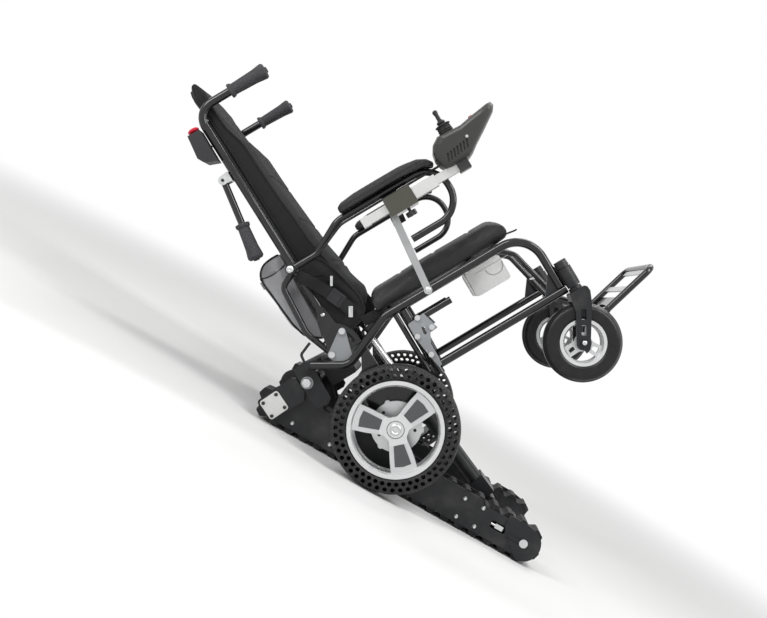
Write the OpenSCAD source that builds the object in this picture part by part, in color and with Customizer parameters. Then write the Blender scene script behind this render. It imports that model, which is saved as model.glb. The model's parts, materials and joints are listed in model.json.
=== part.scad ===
// Stair climbing wheelchair, standing on its two tracks with the chair tipped back.
// X runs forward along the tracks, Y to the user's left, Z up from the cleat tips.
// Chair pieces are drawn upright, X forward from the rear axle and Z up from the
// driving ground, and are then tipped about the track pivot.

/* [Stance] */
// Angle between the chair and its tracks on a stair
deploy_angle = 60; // [0:5:60]
// Backrest pivot to track pivot, along the chair
pivot_back = 142; // [120:1:160]
// Height of the track pivot above the driving ground
pivot_rise = 365; // [340:1:380]

/* [Tracks] */
// Distance between the middle lines of the two belts
track_gauge = 296; // [280:1:310]
// Width of a rubber belt
belt_width = 64; // [50:1:66]
// Thickness of a belt without its cleats
belt_thickness = 9; // [6:0.5:12]
// Distance from one cleat to the next
cleat_pitch = 41.5; // [36:0.5:46]
// Number of cleats on a belt
cleat_count = 40; // [36:1:44]
// Height of a cleat
cleat_height = 13.5; // [8:0.5:16]
// Cleat pitches that would go once round a roller
roller_pitches = 5; // [5:1:6]
// Thickness of the track side plates
track_plate = 4; // [3:0.5:6]
// Height of the pivot above the rollers' axles
ear_rise = 91; // [85:1:100]
// Distance from the drive axle forward to the pivot
ear_setback = 46; // [40:1:52]
// Width of the drive gearcase
gearcase_width = 66; // [56:1:72]
// Side of the square bearing cover
cover_side = 55; // [44:1:60]

/* [Driving wheels] */
// Diameter of a rear tyre
rear_wheel_d = 318; // [300:1:320]
// Width of a rear tyre
rear_tyre_width = 56; // [44:1:60]
// Holes in each of the two rings through a rear tyre
tyre_holes = 48; // [36:1:50]
// Diameter of those holes
tyre_hole_d = 11; // [8:0.5:12]
// Diameter of a rear rim where the tyre seats
rear_rim_d = 238; // [220:1:244]
// Distance between the middle planes of the rear wheels
rear_gauge = 568; // [560:1:590]
// Diameter of a caster tyre
caster_d = 200; // [180:1:204]
// Width of a caster tyre
caster_width = 44; // [36:1:48]
// Diameter of a caster rim
caster_rim_d = 118; // [104:1:126]
// Distance between the two caster stems
caster_gauge = 456; // [450:1:470]
// Distance from the rear axle to the caster stems
stem_x = 560; // [556:1:570]
// Distance from a caster stem back to its axle
caster_trail = 54; // [44:1:60]

/* [Frame] */
// Diameter of the frame tubes
tube_d = 22; // [18:0.5:24]
// Distance between the two side frames, middle to middle
frame_gauge = 450; // [446:1:460]
// Height of the seat rails
seat_rail_z = 410; // [400:1:416]
// Height of the base tubes
base_z = 236; // [234:1:250]
// Distance from the rear axle to the rear posts
post_x = 163; // [155:1:175]
// Length of the seat cushion
seat_depth = 425; // [380:5:430]
// Thickness of the seat cushion at its edge
seat_edge = 36; // [28:1:44]
// Extra height in the middle of the seat cushion
seat_crown = 22; // [10:1:30]

/* [Backrest] */
// Height of the backrest hinge above the ground
hinge_z = 394; // [390:1:400]
// Distance between the two back tubes, middle to middle
back_gauge = 400; // [390:1:404]
// Height of the push grips
grip_z = 1101; // [1060:1:1120]
// Top of the back cushion
back_top = 1166; // [1120:1:1190]
// Length of a push grip
grip_length = 106; // [90:1:120]

/* [Armrests] */
// Diameter of the armrest tubes
arm_tube_d = 18; // [16:0.5:20]
// Distance between the two armrests, middle to middle
arm_gauge = 512; // [506:1:530]
// Height of the armrest tube under the pad
arm_z = 672; // [664:1:690]
// Thickness of an armrest pad
pad_thickness = 22; // [16:1:30]
// Side of the square controller rail
rail_side = 22; // [16:1:24]

/* [Footrest] */
// Width of the footrest between its side tubes
footrest_gauge = 280; // [240:1:290]
// Length of the footrest from its hinge
footrest_length = 165; // [140:1:180]
// Slope of the footrest
footrest_slope = 12.5; // [8:0.5:16]

/* [Fits] */
// Radial clearance of a pin or shaft in its bore
fit = 0.05; // [0.02:0.01:0.1]
// Gap between pieces that move past each other
gap = 0.3; // [0.2:0.05:0.5]

/* [Hidden] */
$fn = 48;
tube_r = tube_d / 2;
arm_r = arm_tube_d / 2;
frame_y = frame_gauge / 2;
rail_in = frame_y - tube_r;
track_y = track_gauge / 2;
belt_half = belt_width / 2;

// Belt path: two straight runs between two rollers
roller_pitch_r = roller_pitches * cleat_pitch / (2 * PI);
track_base = (cleat_count - roller_pitches) * cleat_pitch / 2;
belt_length = cleat_count * cleat_pitch;
turn_length = PI * roller_pitch_r;
tip_r = roller_pitch_r + belt_thickness / 2 + cleat_height;
back_r = roller_pitch_r + belt_thickness / 2;
face_r = roller_pitch_r - belt_thickness / 2;
axle_h = tip_r;
rear_t = -206;
front_t = rear_t + track_base;
rib_width = 8;
rib_height = 5;
cross_bars = [rear_t + 92, rear_t + 306, front_t - 95];
rail_studs = [rear_t + 92, rear_t + 306, front_t - 136];
stud_r = 8;

// Lateral layout of a track, from its inner plate outward
side_gap = 2;
outer_plate_y = track_y + belt_half + side_gap;
outer_face_y = outer_plate_y + track_plate;
inner_face_y = track_y - belt_half - side_gap;
inner_plate_y = inner_face_y - track_plate;
gearcase_depth = 12;
cover_depth = 5;

// Pivot between the chair and the tracks, as [forward, up] in each frame
pivot_track = [rear_t + ear_setback, axle_h + ear_rise];
pivot_chair = [-pivot_back, pivot_rise];
pivot_bolt_r = 8;
bracket_plate = 6;
bracket_y = outer_face_y + gearcase_depth + 1.5;

// Backrest hinge, armrest hinge, post foot and post head form a parallelogram
hinge = [-50, hinge_z];
arm_pivot = [-25, hinge_z + 233];
post_foot = [241, seat_rail_z];
post_head = post_foot + arm_pivot - hinge;
lock_pin = [2, hinge_z + 38];
back_y = back_gauge / 2;
recline_plate_y = back_y + tube_r + 0.5;
recline_plate = 4;
stay_y = recline_plate_y + recline_plate + 0.7;
stay_plate = 4;
recline_travel = 30;

// Actuator: foot on the track unit, rod eye under the seat
ram_foot = [front_t - 100.25, axle_h + 29];
ram_eye_chair = [38, seat_rail_z - 11];
ram_y = -22;
ram_r = 20;
ram_tube_x = 130;
pack_tube_x = 370;
hanger_x = 452;
rod_r = 10;
ram_tube_length = 290;
rod_length = 300;

// Armrests and controller
arm_y = arm_gauge / 2;
post_y = frame_y + tube_r + 2.5;
post_thick = 5;
clamp_x = [256, 330];
clamp_size = [clamp_x[1] - clamp_x[0], 54, 49];
rail_z = post_head.y - 13;
rail_y = arm_y + arm_r + rail_side / 2 + 4.5;
rail_front = 462;
rail_rear = 205;
control_y = arm_y + 12;
stick_x = 478;
stick_z = 712;

// Wheels
rear_axle_z = rear_wheel_d / 2;
rear_wheel_y = rear_gauge / 2;
shaft_r = 10;
motor_r = 64;
caster_y = caster_gauge / 2;
caster_axle = [stem_x - caster_trail, caster_d / 2];
stem_r = 12;
head_r = 19;
axle_r = 6;
crown_top = 222;
crown_bottom = 182;
housing_low = crown_top + 11;
housing_high = housing_low + 52;

// Footrest
foot_hinge = [614, 128];
foot_r = 9;
boss_r = 15;
hanger_y = 75;

// Seat, back and bag
seat_rear = 88;
seat_top = seat_rail_z + tube_r + gap;
back_face = -16;

// Where the far ends of the part lie, so that it stands centred
stand_shift = -(front_t + tip_r + chair_to_track([back_face + 10, back_top]).x) / 2;

function turned(p, a) = [p.x * cos(a) - p.y * sin(a), p.x * sin(a) + p.y * cos(a)];
function chair_to_track(p) = pivot_track + turned(p - pivot_chair, deploy_angle);
function unit(v) = v / norm(v);
function arc(c, r, a0, a1, n) = [for (i = [0:n])
    c + r * [cos(a0 + (a1 - a0) * i / n), sin(a0 + (a1 - a0) * i / n)]];
function angle_between(a, b, c) = acos(unit(b - a) * unit(c - b));
function setback(a, b, c, r) = r * tan(angle_between(a, b, c) / 2);

// A point of the belt loop, s along it from the rear of the lower run and o outward
function loop_at(s, o) =
    let (u = ((s % belt_length) + belt_length) % belt_length,
         r = roller_pitch_r + o)
    u < track_base ? [rear_t + u, axle_h - r] :
    u < track_base + turn_length ?
        [front_t, axle_h] + r * [sin((u - track_base) / roller_pitch_r * 180 / PI),
                                 -cos((u - track_base) / roller_pitch_r * 180 / PI)] :
    u < 2 * track_base + turn_length ?
        [front_t - (u - track_base - turn_length), axle_h + r] :
        [rear_t, axle_h] +
            r * [-sin((u - 2 * track_base - turn_length) / roller_pitch_r * 180 / PI),
                 cos((u - 2 * track_base - turn_length) / roller_pitch_r * 180 / PI)];

// One cleat, as shares of the pitch and of the cleat's height
cleat_form = [[0.02, 0], [0.14, 0.12], [0.24, 0.5], [0.32, 0.92], [0.38, 1],
              [0.62, 1], [0.68, 0.92], [0.76, 0.5], [0.86, 0.12]];

function cleated_loop() = [for (k = [0:cleat_count - 1], c = cleat_form)
    loop_at((k + c.x) * cleat_pitch, belt_thickness / 2 + c.y * cleat_height)];
function plain_loop(o) = concat(
    arc([rear_t, axle_h], roller_pitch_r + o, 90, 270, 24),
    arc([front_t, axle_h], roller_pitch_r + o, -90, 90, 24));

module both() {
    children();
    mirror([0, 1, 0]) children();
}

module in_track() translate([stand_shift, 0, 0]) children();

module in_chair()
    in_track() translate([pivot_track.x, 0, pivot_track.y])
        rotate([0, -deploy_angle, 0])
            translate([-pivot_chair.x, 0, -pivot_chair.y]) children();

// A flat shape drawn in X and Z, thick along Y from y
module slab(y, thick)
    translate([0, y + thick, 0]) rotate([90, 0, 0]) linear_extrude(thick) children();

// A round bar along Y through the point p of the side view
module pin(p, y0, y1, r)
    translate([p.x, y0, p.y]) rotate([-90, 0, 0]) cylinder(r = r, h = y1 - y0);

module rod(a, b, r) {
    d = b - a;
    translate(a) rotate([0, acos(d.z / norm(d)), atan2(d.y, d.x)])
        cylinder(r = r, h = norm(d));
}

module bend(a, b, c, bend_r, r) {
    d = unit(b - a);
    n = unit(cross(d, c - b));
    inward = cross(n, d);
    o = b - d * setback(a, b, c, bend_r) + inward * bend_r;
    multmatrix([[-inward.x, d.x, n.x, o.x],
                [-inward.y, d.y, n.y, o.y],
                [-inward.z, d.z, n.z, o.z]])
        rotate_extrude(angle = angle_between(a, b, c))
            translate([bend_r, 0]) circle(r);
}

// A bent tube through the points p, with one bend radius for each inner point
module pipe(p, bends, r) {
    lap = 0.5;
    swell = 0.05;
    last = len(p) - 1;
    for (i = [0:last - 1]) {
        d = unit(p[i + 1] - p[i]);
        s0 = i == 0 ? 0 : setback(p[i - 1], p[i], p[i + 1], bends[i - 1]) - lap;
        s1 = i == last - 1 ? 0 : setback(p[i], p[i + 1], p[i + 2], bends[i]) - lap;
        rod(p[i] + d * s0, p[i + 1] - d * s1, r);
    }
    for (i = [1:last - 1])
        bend(p[i - 1], p[i], p[i + 1], bends[i - 1], r + swell);
}

// Side-view points carried to the plane y
function at_y(p, y) = [for (q = p) [q.x, y, q.y]];

function rounded(w, h, r) = concat(
    arc([w / 2 - r, -h / 2 + r], r, -90, 0, 5), arc([w / 2 - r, h / 2 - r], r, 0, 90, 5),
    arc([-w / 2 + r, h / 2 - r], r, 90, 180, 5), arc([-w / 2 + r, -h / 2 + r], r, 180, 270, 5));

// A soft or moulded body: one side outline carried across Y, where each station
// is [y, share of the length, share of the height] about the point c
module lofted(outline, c, stations) {
    n = len(outline);
    m = len(stations);
    pts = [for (s = stations, q = outline)
        [c.x + (q.x - c.x) * s[1], s[0], c.y + (q.y - c.y) * s[2]]];
    ends = [[c.x, stations[0][0], c.y], [c.x, stations[m - 1][0], c.y]];
    sides = [for (j = [0:m - 2], i = [0:n - 1], k = [0, 1])
        let (a = j * n + i, b = j * n + (i + 1) % n)
        k == 0 ? [a, b, b + n] : [a, b + n, a + n]];
    caps = [for (i = [0:n - 1], k = [0, 1])
        let (j = (i + 1) % n)
        k == 0 ? [n * m, j, i] : [n * m + 1, (m - 1) * n + i, (m - 1) * n + j]];
    polyhedron(points = concat(pts, ends), faces = concat(sides, caps), convexity = 4);
}

// Stations of a soft body: full in the middle, drawn in and rounded at its sides
function soft_stations(half, round_in, crown, n) = [for (i = [0:n])
    let (a = -90 + 180 * i / n, y = half * sin(a), e = pow(abs(sin(a)), 6))
    [y, 1 - round_in * e, 1 - crown * pow(abs(sin(a)), 3)]];

// Tracks

function plate_outline(ear_r) = concat(
    arc([rear_t, axle_h], back_r, 270, 140, 14),
    arc(pivot_track, ear_r, 160, 20, 12),
    [[pivot_track.x + 68, axle_h + 48], [front_t - 145, axle_h + 48],
     [front_t - 136, axle_h + back_r]],
    arc([front_t, axle_h], back_r, 90, -90, 18));

module belt_roller(y) {
    drum_r = face_r - gap;
    difference() {
        pin([0, 0], y - belt_half + 3, y + belt_half - 3, drum_r);
        difference() {
            pin([0, 0], y - rib_width / 2 - 2, y + rib_width / 2 + 2, drum_r + 5);
            pin([0, 0], y - rib_width, y + rib_width, drum_r - rib_height - 2);
        }
    }
}

module track_chassis() color("#202226") in_track() {
    difference() {
        union() {
            both() slab(inner_plate_y, track_plate) polygon(plate_outline(24));
            for (t = cross_bars)
                pin([t, axle_h], -inner_plate_y - 1, inner_plate_y + 1, 11);
            for (t = rail_studs)
                both() pin([t, axle_h], inner_plate_y + 1, outer_plate_y, stud_r);
            pin(pivot_track, -outer_plate_y, outer_plate_y, 15);
            for (y = [ram_y - 31, ram_y + 25])
                slab(y, 6) polygon(concat(arc(ram_foot, 14, 140, 20, 8),
                    arc([cross_bars[2], axle_h], 13, -10, -170, 8)));
        }
        both() pin(pivot_track, outer_plate_y - 40, outer_plate_y + 1, pivot_bolt_r + fit);
        both() pin([rear_t, axle_h], inner_plate_y - 1, inner_face_y + 1, 10 + fit);
        both() pin([front_t, axle_h], inner_plate_y - 1, inner_face_y + 1, 10 + fit);
        pin(ram_foot, ram_y - 40, ram_y + 40, 6 + fit);
    }
}

module track_side_plates() color("#26282c") in_track() both() {
    difference() {
        union() {
            slab(outer_plate_y, track_plate) polygon(plate_outline(24));
            pin(pivot_track, outer_face_y - 1, bracket_y - gap, 15);
        }
        pin(pivot_track, outer_plate_y - 1, bracket_y + 1, pivot_bolt_r + fit);
        pin([rear_t, axle_h], outer_plate_y - 1, outer_face_y + 1, 10 + fit);
        pin([front_t, axle_h], outer_plate_y - 1, outer_face_y + 1, 10 + fit);
        slab(outer_plate_y - 1, track_plate + 2)
            translate([front_t - 76, axle_h + 5]) polygon(rounded(42, 20, 4));
    }
    difference() {
        slab(outer_face_y, 3) polygon(concat(
            arc([front_t, axle_h], tip_r - 5, 62, -88, 14),
            [[front_t - 52, axle_h - 1], [front_t - 64, axle_h + 18],
             [front_t - 64, axle_h + 48], [front_t - 16, axle_h + 48]]));
        slab(outer_face_y - 1, 5) translate([front_t - 20, axle_h])
            polygon(rounded(56, 17, 8));
    }
}

module track_belts() color("#141415") in_track() both() {
    slab(track_y - belt_half, belt_width) {
        difference() {
            polygon(cleated_loop());
            polygon(plain_loop(-belt_thickness / 2));
        }
    }
    slab(track_y - rib_width / 2, rib_width) {
        difference() {
            polygon(plain_loop(-belt_thickness / 2 + 1));
            polygon(plain_loop(-belt_thickness / 2 - rib_height));
        }
    }
}

module slide_rails() color("#3a3c40") in_track() both() {
    half = face_r - gap;
    x0 = rear_t + face_r + 12;
    run = track_base - 2 * (face_r + 12);
    difference() {
        translate([x0, 0, axle_h]) rotate([90, 0, 90]) linear_extrude(run)
            translate([track_y, 0]) polygon(concat(
                [[-24, -half], [-6, -half], [-6, -half + 7], [6, -half + 7],
                 [6, -half], [24, -half], [24, -half + 10], [6, -half + 12]],
                [[6, half - 12], [24, half - 10], [24, half], [6, half],
                 [6, half - 7], [-6, half - 7], [-6, half], [-24, half],
                 [-24, half - 10], [-6, half - 12], [-6, -half + 12], [-24, -half + 10]]));
        for (t = rail_studs)
            pin([t, axle_h], track_y - 30, track_y + 30, stud_r + fit);
    }
}

// Gearcase beside each drive roller, leaning up toward the pivot
module track_gearcases() color("#4a4e52") in_track() both() {
    lean = atan2(ear_rise, ear_setback);
    reach = norm([ear_setback, ear_rise]) - 19;
    half = gearcase_width / 2;
    difference() {
        slab(outer_face_y, gearcase_depth)
            translate([rear_t, axle_h]) rotate(lean) polygon(concat(
                arc([-half + 10, -half + 10], 10, 180, 270, 5),
                [[reach - 14, -half], [reach, -half + 18], [reach, half - 8],
                 [reach - 8, half]],
                arc([-half + 10, half - 10], 10, 90, 180, 5)));
        pin([rear_t, axle_h], outer_face_y - 1, outer_face_y + 8, 10 + fit);
    }
}

module gearcase_covers() color("#d5d6d3") in_track() both() {
    lean = atan2(ear_rise, ear_setback);
    c = cover_side / 2 - 8;
    difference() {
        slab(outer_face_y + gearcase_depth, cover_depth)
            translate([rear_t, axle_h]) rotate(lean)
                polygon(rounded(cover_side, cover_side, 7));
        for (x = [-c, c], z = [-c, c])
            pin([rear_t, axle_h] + turned([x, z], lean),
                outer_face_y + gearcase_depth + 1, outer_face_y + gearcase_depth + 9, 2.6);
    }
}

// Drive motor between the two tracks
module track_motor() color("#33353a") in_track() {
    c = [rear_t + 6, axle_h + 60];
    difference() {
        union() {
            pin(c, -inner_plate_y + 0.2, inner_plate_y - 0.2, 29);
            pin(c, -inner_plate_y + 0.2, -inner_plate_y + 12, 33);
            pin(c, inner_plate_y - 12, inner_plate_y - 0.2, 33);
            slab(-40, 80) translate(c + [-4, 26]) polygon(rounded(46, 24, 5));
        }
        for (a = [0:30:330])
            pin(c + turned([30, 0], a), -inner_plate_y + 20, -44, 1.6);
    }
}

module track_fasteners() color("#c9cac8") in_track() {
    lean = atan2(ear_rise, ear_setback);
    c = cover_side / 2 - 8;
    both() {
        for (p = [[rear_t + 62, axle_h - 21], [rear_t + 172, axle_h - 22],
                  [front_t - 183, axle_h - 24], [front_t - 130, axle_h - 24],
                  [front_t - 185, axle_h + 27], [front_t - 132, axle_h + 28]])
            translate([p.x, outer_face_y, p.y]) rotate([-90, 0, 0])
                cylinder(r1 = 6, r2 = 3.5, h = 3.5);
        for (x = [-c, c], z = [-c, c])
            translate([0, outer_face_y + gearcase_depth + 1, 0])
                pin([rear_t, axle_h] + turned([x, z], lean), 0, 6.5, 2.55);
        difference() {
            union() {
                pin([front_t, axle_h], outer_plate_y + 0.2, outer_face_y + 4, 8);
                pin([front_t, axle_h], outer_face_y + 3, outer_face_y + 6, 11);
            }
            pin([front_t, axle_h], outer_plate_y, outer_face_y + 2, 4);
        }
        slab(outer_plate_y + 0.2, track_plate + 2)
            translate([front_t - 74, axle_h + 5]) polygon(rounded(22, 12, 2));
        rod([front_t - 81, outer_face_y - 1, axle_h + 5],
            [front_t - 97 + gap, outer_face_y - 1, axle_h + 5], 3);
    }
    difference() {
        pin(ram_foot, ram_y - 34, ram_y + 34, 6);
        pin(ram_foot, ram_y - 35, ram_y - 33, 2);
    }
}

module drive_rollers() color("#55575c") in_track() translate([rear_t, 0, axle_h]) {
    pin([0, 0], -outer_face_y - 6, outer_face_y + 6, 10);
    for (s = [-1, 1]) belt_roller(s * track_y);
}

module idler_rollers() color("#55575c") in_track() translate([front_t, 0, axle_h]) {
    difference() {
        union() {
            pin([0, 0], -outer_plate_y, outer_plate_y, 10);
            for (s = [-1, 1]) belt_roller(s * track_y);
        }
        for (s = [-1, 1], a = [0:60:300])
            translate([0, s * track_y, 0])
                pin(turned([19, 0], a), -belt_half, belt_half, 5);
    }
}

// Linear actuator, drawn along X from its foot
ram_eye = chair_to_track(ram_eye_chair);
ram_length = norm(ram_eye - ram_foot);
ram_angle = atan2(ram_eye.y - ram_foot.y, ram_eye.x - ram_foot.x);

module along_ram() in_track() translate([ram_foot.x, ram_y, ram_foot.y])
    rotate([0, -ram_angle, 0]) children();

module actuator_case() color("#3c3f44") along_ram() difference() {
    union() {
        rotate([90, 0, 0]) cylinder(r = 14, h = 48, center = true);
        translate([15, -22, -24]) cube([55, 88, 48]);
        translate([60, 0, 0]) rotate([0, 90, 0]) cylinder(r = ram_r, h = ram_tube_length - 60);
        translate([ram_tube_length - 16, 0, 0]) rotate([0, 90, 0])
            cylinder(r = ram_r + 3, h = 16);
        translate([69, 2 * ram_r + 4, 0]) rotate([0, 90, 0]) cylinder(r = ram_r, h = 120);
        translate([188, 2 * ram_r + 4, 0]) rotate([0, 90, 0]) cylinder(r1 = ram_r, r2 = 15, h = 8);
    }
    rotate([90, 0, 0]) cylinder(r = 6 + fit, h = 60, center = true);
    translate([74, 0, 0]) rotate([0, 90, 0]) cylinder(r = rod_r + fit, h = ram_tube_length);
}

module actuator_rod() color("#d8d9d8") along_ram() difference() {
    union() {
        translate([ram_length - 10 - rod_length, 0, 0]) rotate([0, 90, 0])
            cylinder(r = rod_r, h = rod_length);
        translate([ram_length, 0, 0]) rotate([90, 0, 0]) cylinder(r = 13, h = 21, center = true);
    }
    translate([ram_length, 0, 0]) rotate([90, 0, 0]) cylinder(r = 6 + gap, h = 30, center = true);
}

// Chair frame

cross_rear = [-118, seat_rail_z - 6];
rail_low = [-25, seat_rail_z - 61];
rail_knee = [112, seat_rail_z];
rail_front_x = stem_x - head_r - tube_r;
rail_start = cross_rear + unit(rail_low - cross_rear) * tube_r;
rail_points = [rail_start, rail_low, rail_knee, [rail_front_x, seat_rail_z],
               [rail_front_x, base_z + tube_r]];
rail_bends = [40, 60, 75];

module seat_rails() color("#111214") in_chair() both()
    pipe(at_y(rail_points, frame_y), rail_bends, tube_r);

module base_tubes() color("#111214") in_chair() both() {
    difference() {
        rod([post_x + tube_r, frame_y, base_z], [stem_x - head_r, frame_y, base_z], tube_r);
        rod([stem_x - head_r - 12, frame_y, base_z], [stem_x - head_r + 1, frame_y, base_z],
            tube_r - 2.5);
    }
    difference() {
        rod([post_x + tube_r, frame_y, seat_rail_z - 49],
            [post_x + 115, frame_y, seat_rail_z - 49], tube_r - 2);
        rod([post_x + 45, frame_y, seat_rail_z - 49],
            [post_x + 116, frame_y, seat_rail_z - 49], tube_r - 4);
    }
}

// Post and wheel plate of each side, welded together
module rear_posts() color("#17181a") in_chair() both() {
    slope = unit(rail_knee - rail_low);
    under = [slope.y, -slope.x] * tube_r;
    difference() {
        union() {
            rod([post_x, frame_y, base_z - 22], [post_x, frame_y, seat_rail_z - tube_r], tube_r);
            rod([post_x - 24, frame_y, base_z - 4],
                [post_x - 24, frame_y, seat_rail_z - tube_r], 7);
            // Motor plate: one arm up to the seat rail, one forward to the post
            slab(frame_y - 3, 6) polygon(concat(
                [rail_low + slope * 36 + under, rail_low + slope * 24 + under - [6, 26]],
                arc([0, rear_axle_z], 62, 150, 290, 14),
                [[post_x - 4, base_z - 22], [post_x - 4, base_z + 10],
                 [post_x - 71, base_z - 2], [58, base_z + 4], [40, base_z + 30],
                 rail_low + slope * 62 + under]));
        }
        pin([0, rear_axle_z], frame_y - 4, frame_y + 4, 30);
    }
}

module rear_cross_frame() color("#17181a") in_chair() difference() {
    union() {
        pin(cross_rear, -frame_y - tube_r, frame_y + tube_r, tube_r);
        both() slab(bracket_y, bracket_plate) polygon([
            pivot_chair + [-15, -64], pivot_chair + [-16, -8],
            pivot_chair + [-14, 47], pivot_chair + [18, 50],
            pivot_chair + [34, 40], pivot_chair + [31, -64],
            pivot_chair + [20, -72], pivot_chair + [-6, -72]]);
        both() pipe(at_y([cross_rear + [-1, 6], cross_rear + [2, 30],
                          cross_rear + [36, 44]], frame_y - 1), [9], 3.5);
    }
    both() pin(pivot_chair, bracket_y - 1, bracket_y + bracket_plate + 1, pivot_bolt_r + fit);
}

module frame_plates() color("#8e9194") in_chair() both() {
    // Slotted plate on the outside of the rear post
    p = [post_x, seat_rail_z];
    difference() {
        slab(frame_y + tube_r, 4) polygon([p + [-10, -88], p + [-9, -48], p + [38, -43],
            p + [51, -92], p + [29, -94], p + [16, -118], p + [14, -176],
            p + [4, -180], p + [-3, -140]]);
        slab(frame_y + tube_r - 1, 6) polygon(concat(
            arc(p + [39, -84], 26, 148, 200, 8), arc(p + [39, -84], 18, 200, 148, 8)));
        for (q = [[-4, -86], [39, -84], [3, -142], [20, -46]])
            pin(p + q, frame_y + tube_r - 1, frame_y + tube_r + 5, 4 + fit);
    }
    // Stay that carries the backrest hinge and its lock pin
    difference() {
        slab(stay_y, stay_plate) polygon(concat(
            arc(hinge, 11, 100, 220, 8),
            [rail_low + [-20, 8], rail_low + [14, 8], rail_low + [19, 20]],
            arc(lock_pin, 9, -20, 110, 6)));
        pin(hinge, stay_y - 1, stay_y + stay_plate + 1, 5 + fit);
        pin(lock_pin, stay_y - 1, stay_y + stay_plate + 1, 4 + fit);
        pipe(at_y([rail_start, rail_low, rail_knee], frame_y), [rail_bends[0]],
             tube_r + 0.1);
    }
}

module seat_cross_tubes() color("#111214") in_chair() {
    for (x = [pack_tube_x, hanger_x])
        pin([x, seat_rail_z], 0.1 - rail_in, rail_in - 0.1, tube_r);
    difference() {
        union() {
            pin([ram_tube_x, seat_rail_z], 0.1 - rail_in, rail_in - 0.1, tube_r);
            // Lugs that the actuator's eye turns in
            for (y = [ram_y - 17, ram_y + 11])
                slab(y, 6) polygon(concat(arc(ram_eye_chair, 13, 100, 260, 10),
                    arc([ram_tube_x, seat_rail_z], tube_r, -90, 90, 8)));
        }
        pin(ram_eye_chair, ram_y - 20, ram_y + 20, 6 + fit);
    }
}

module seat_cushion() color("#191a1b") in_chair() {
    x0 = seat_rear;
    x1 = seat_rear + seat_depth;
    t = seat_edge + seat_crown;
    outline = concat([[x0 + 6, 0], [x0 + seat_depth / 2, 0]],
        arc([x1 - 26, 18], 18, -90, -20, 5), arc([x1 - 34, t - 24], 24, 0, 80, 6),
        [[x0 + seat_depth * 0.66, t + 1], [x0 + seat_depth * 0.4, t + 1.5],
         [x0 + seat_depth * 0.18, t]],
        arc([x0 + 16, t - 16], 16, 100, 180, 5), [[x0, 8]]);
    translate([0, 0, seat_top])
        lofted(outline, [(x0 + x1) / 2, 0], soft_stations(frame_y - 2, 0.03, 0.34, 22));
}

module caster_housings() color("#1b1c1e") in_chair() both() difference() {
    union() {
        translate([stem_x, caster_y, housing_low])
            cylinder(r = head_r, h = housing_high - housing_low);
        translate([stem_x, caster_y, housing_high - 1]) cylinder(r = 15, h = 4);
        translate([stem_x, caster_y, housing_high + 2]) cylinder(r1 = 17.5, r2 = 16, h = 18);
        slab(frame_y - 3, 6) polygon([[stem_x - 5, housing_high - 4],
            [rail_front_x + 6, housing_high + 22], [rail_front_x + 4, base_z + 8],
            [stem_x - 8, base_z + 8]]);
        slab(frame_y - 3, 6) polygon([[rail_front_x - 8, housing_high + 10],
            [rail_front_x - 8, base_z + 8], [rail_front_x - 46, base_z + 8]]);
    }
    translate([stem_x, caster_y, housing_low - 1]) cylinder(r = stem_r + fit, h = 54);
    rod([rail_front_x, frame_y, base_z], [rail_front_x, frame_y, seat_rail_z], tube_r);
    rod([rail_front_x - 80, frame_y, base_z], [stem_x + 30, frame_y, base_z], tube_r);
}

module battery_packs() color("#e4e5e3") in_chair() both() {
    w = 104;
    h = 71;
    slab(47, 58) translate([hanger_x - 2 - w / 2, seat_rail_z - tube_r - gap - h / 2])
        polygon(rounded(w, h, 8));
}

module drive_motors() color("#b9bbbd") in_chair() both() difference() {
    c = [0, rear_axle_z];
    union() {
        pin(c, frame_y + 3, rear_wheel_y - rear_tyre_width / 2 - 6, motor_r);
        pin(c, frame_y - 3, frame_y + 4, 30 - fit);
        pin(c, frame_y - 29, frame_y - 3, motor_r - 20);
        for (a = [20:60:320])
            pin(c + turned([motor_r - 3, 0], a), frame_y + 3, frame_y + 22, 8);
    }
    pin(c, frame_y - 12, rear_wheel_y, shaft_r + fit);
}

// Bolts, pivot pins and washers of the chair frame
module frame_bolts() color("#cfd0ce") in_chair() both() {
    out = bracket_y + bracket_plate;
    pin(pivot_chair, outer_plate_y - 24, out + 3, pivot_bolt_r);
    pin(pivot_chair, out, out + 2.5, 15.5);
    pin(pivot_chair, out + 2, out + 9, 10);
    pin(hinge, recline_plate_y - 6, stay_y + stay_plate + 3, 5);
    pin(hinge, stay_y + stay_plate, stay_y + stay_plate + 5, 8);
    pin(lock_pin, recline_plate_y - 2, stay_y + stay_plate + 3, 4);
    pin(lock_pin, stay_y + stay_plate, stay_y + stay_plate + 5, 8);
    p = [post_x, seat_rail_z];
    for (q = [[-4, -86], [39, -84], [3, -142], [20, -46]]) {
        pin(p + q, frame_y + tube_r + 0.2, frame_y + tube_r + 8, 4);
        pin(p + q, frame_y + tube_r + 4, frame_y + tube_r + 8, 7);
    }
    pin(post_foot, frame_y + tube_r, post_y + post_thick + 5, 5);
    pin(post_foot, post_y + post_thick + 1, post_y + post_thick + 5, 8);
}

module control_box() color("#1a1b1d") in_chair() {
    x0 = cross_rear.x + tube_r;
    z = cross_rear.y;
    slab(-96, 192) polygon([[x0, z], [x0, z - 78], [x0 + 6, z - 82], [x0 + 71, z - 82],
        [x0 + 77, z - 76], [x0 + 77, z - 16], [x0 + 71, z - 10], [x0 + 12, z - 10],
        [x0 + 12, z]]);
}

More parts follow.
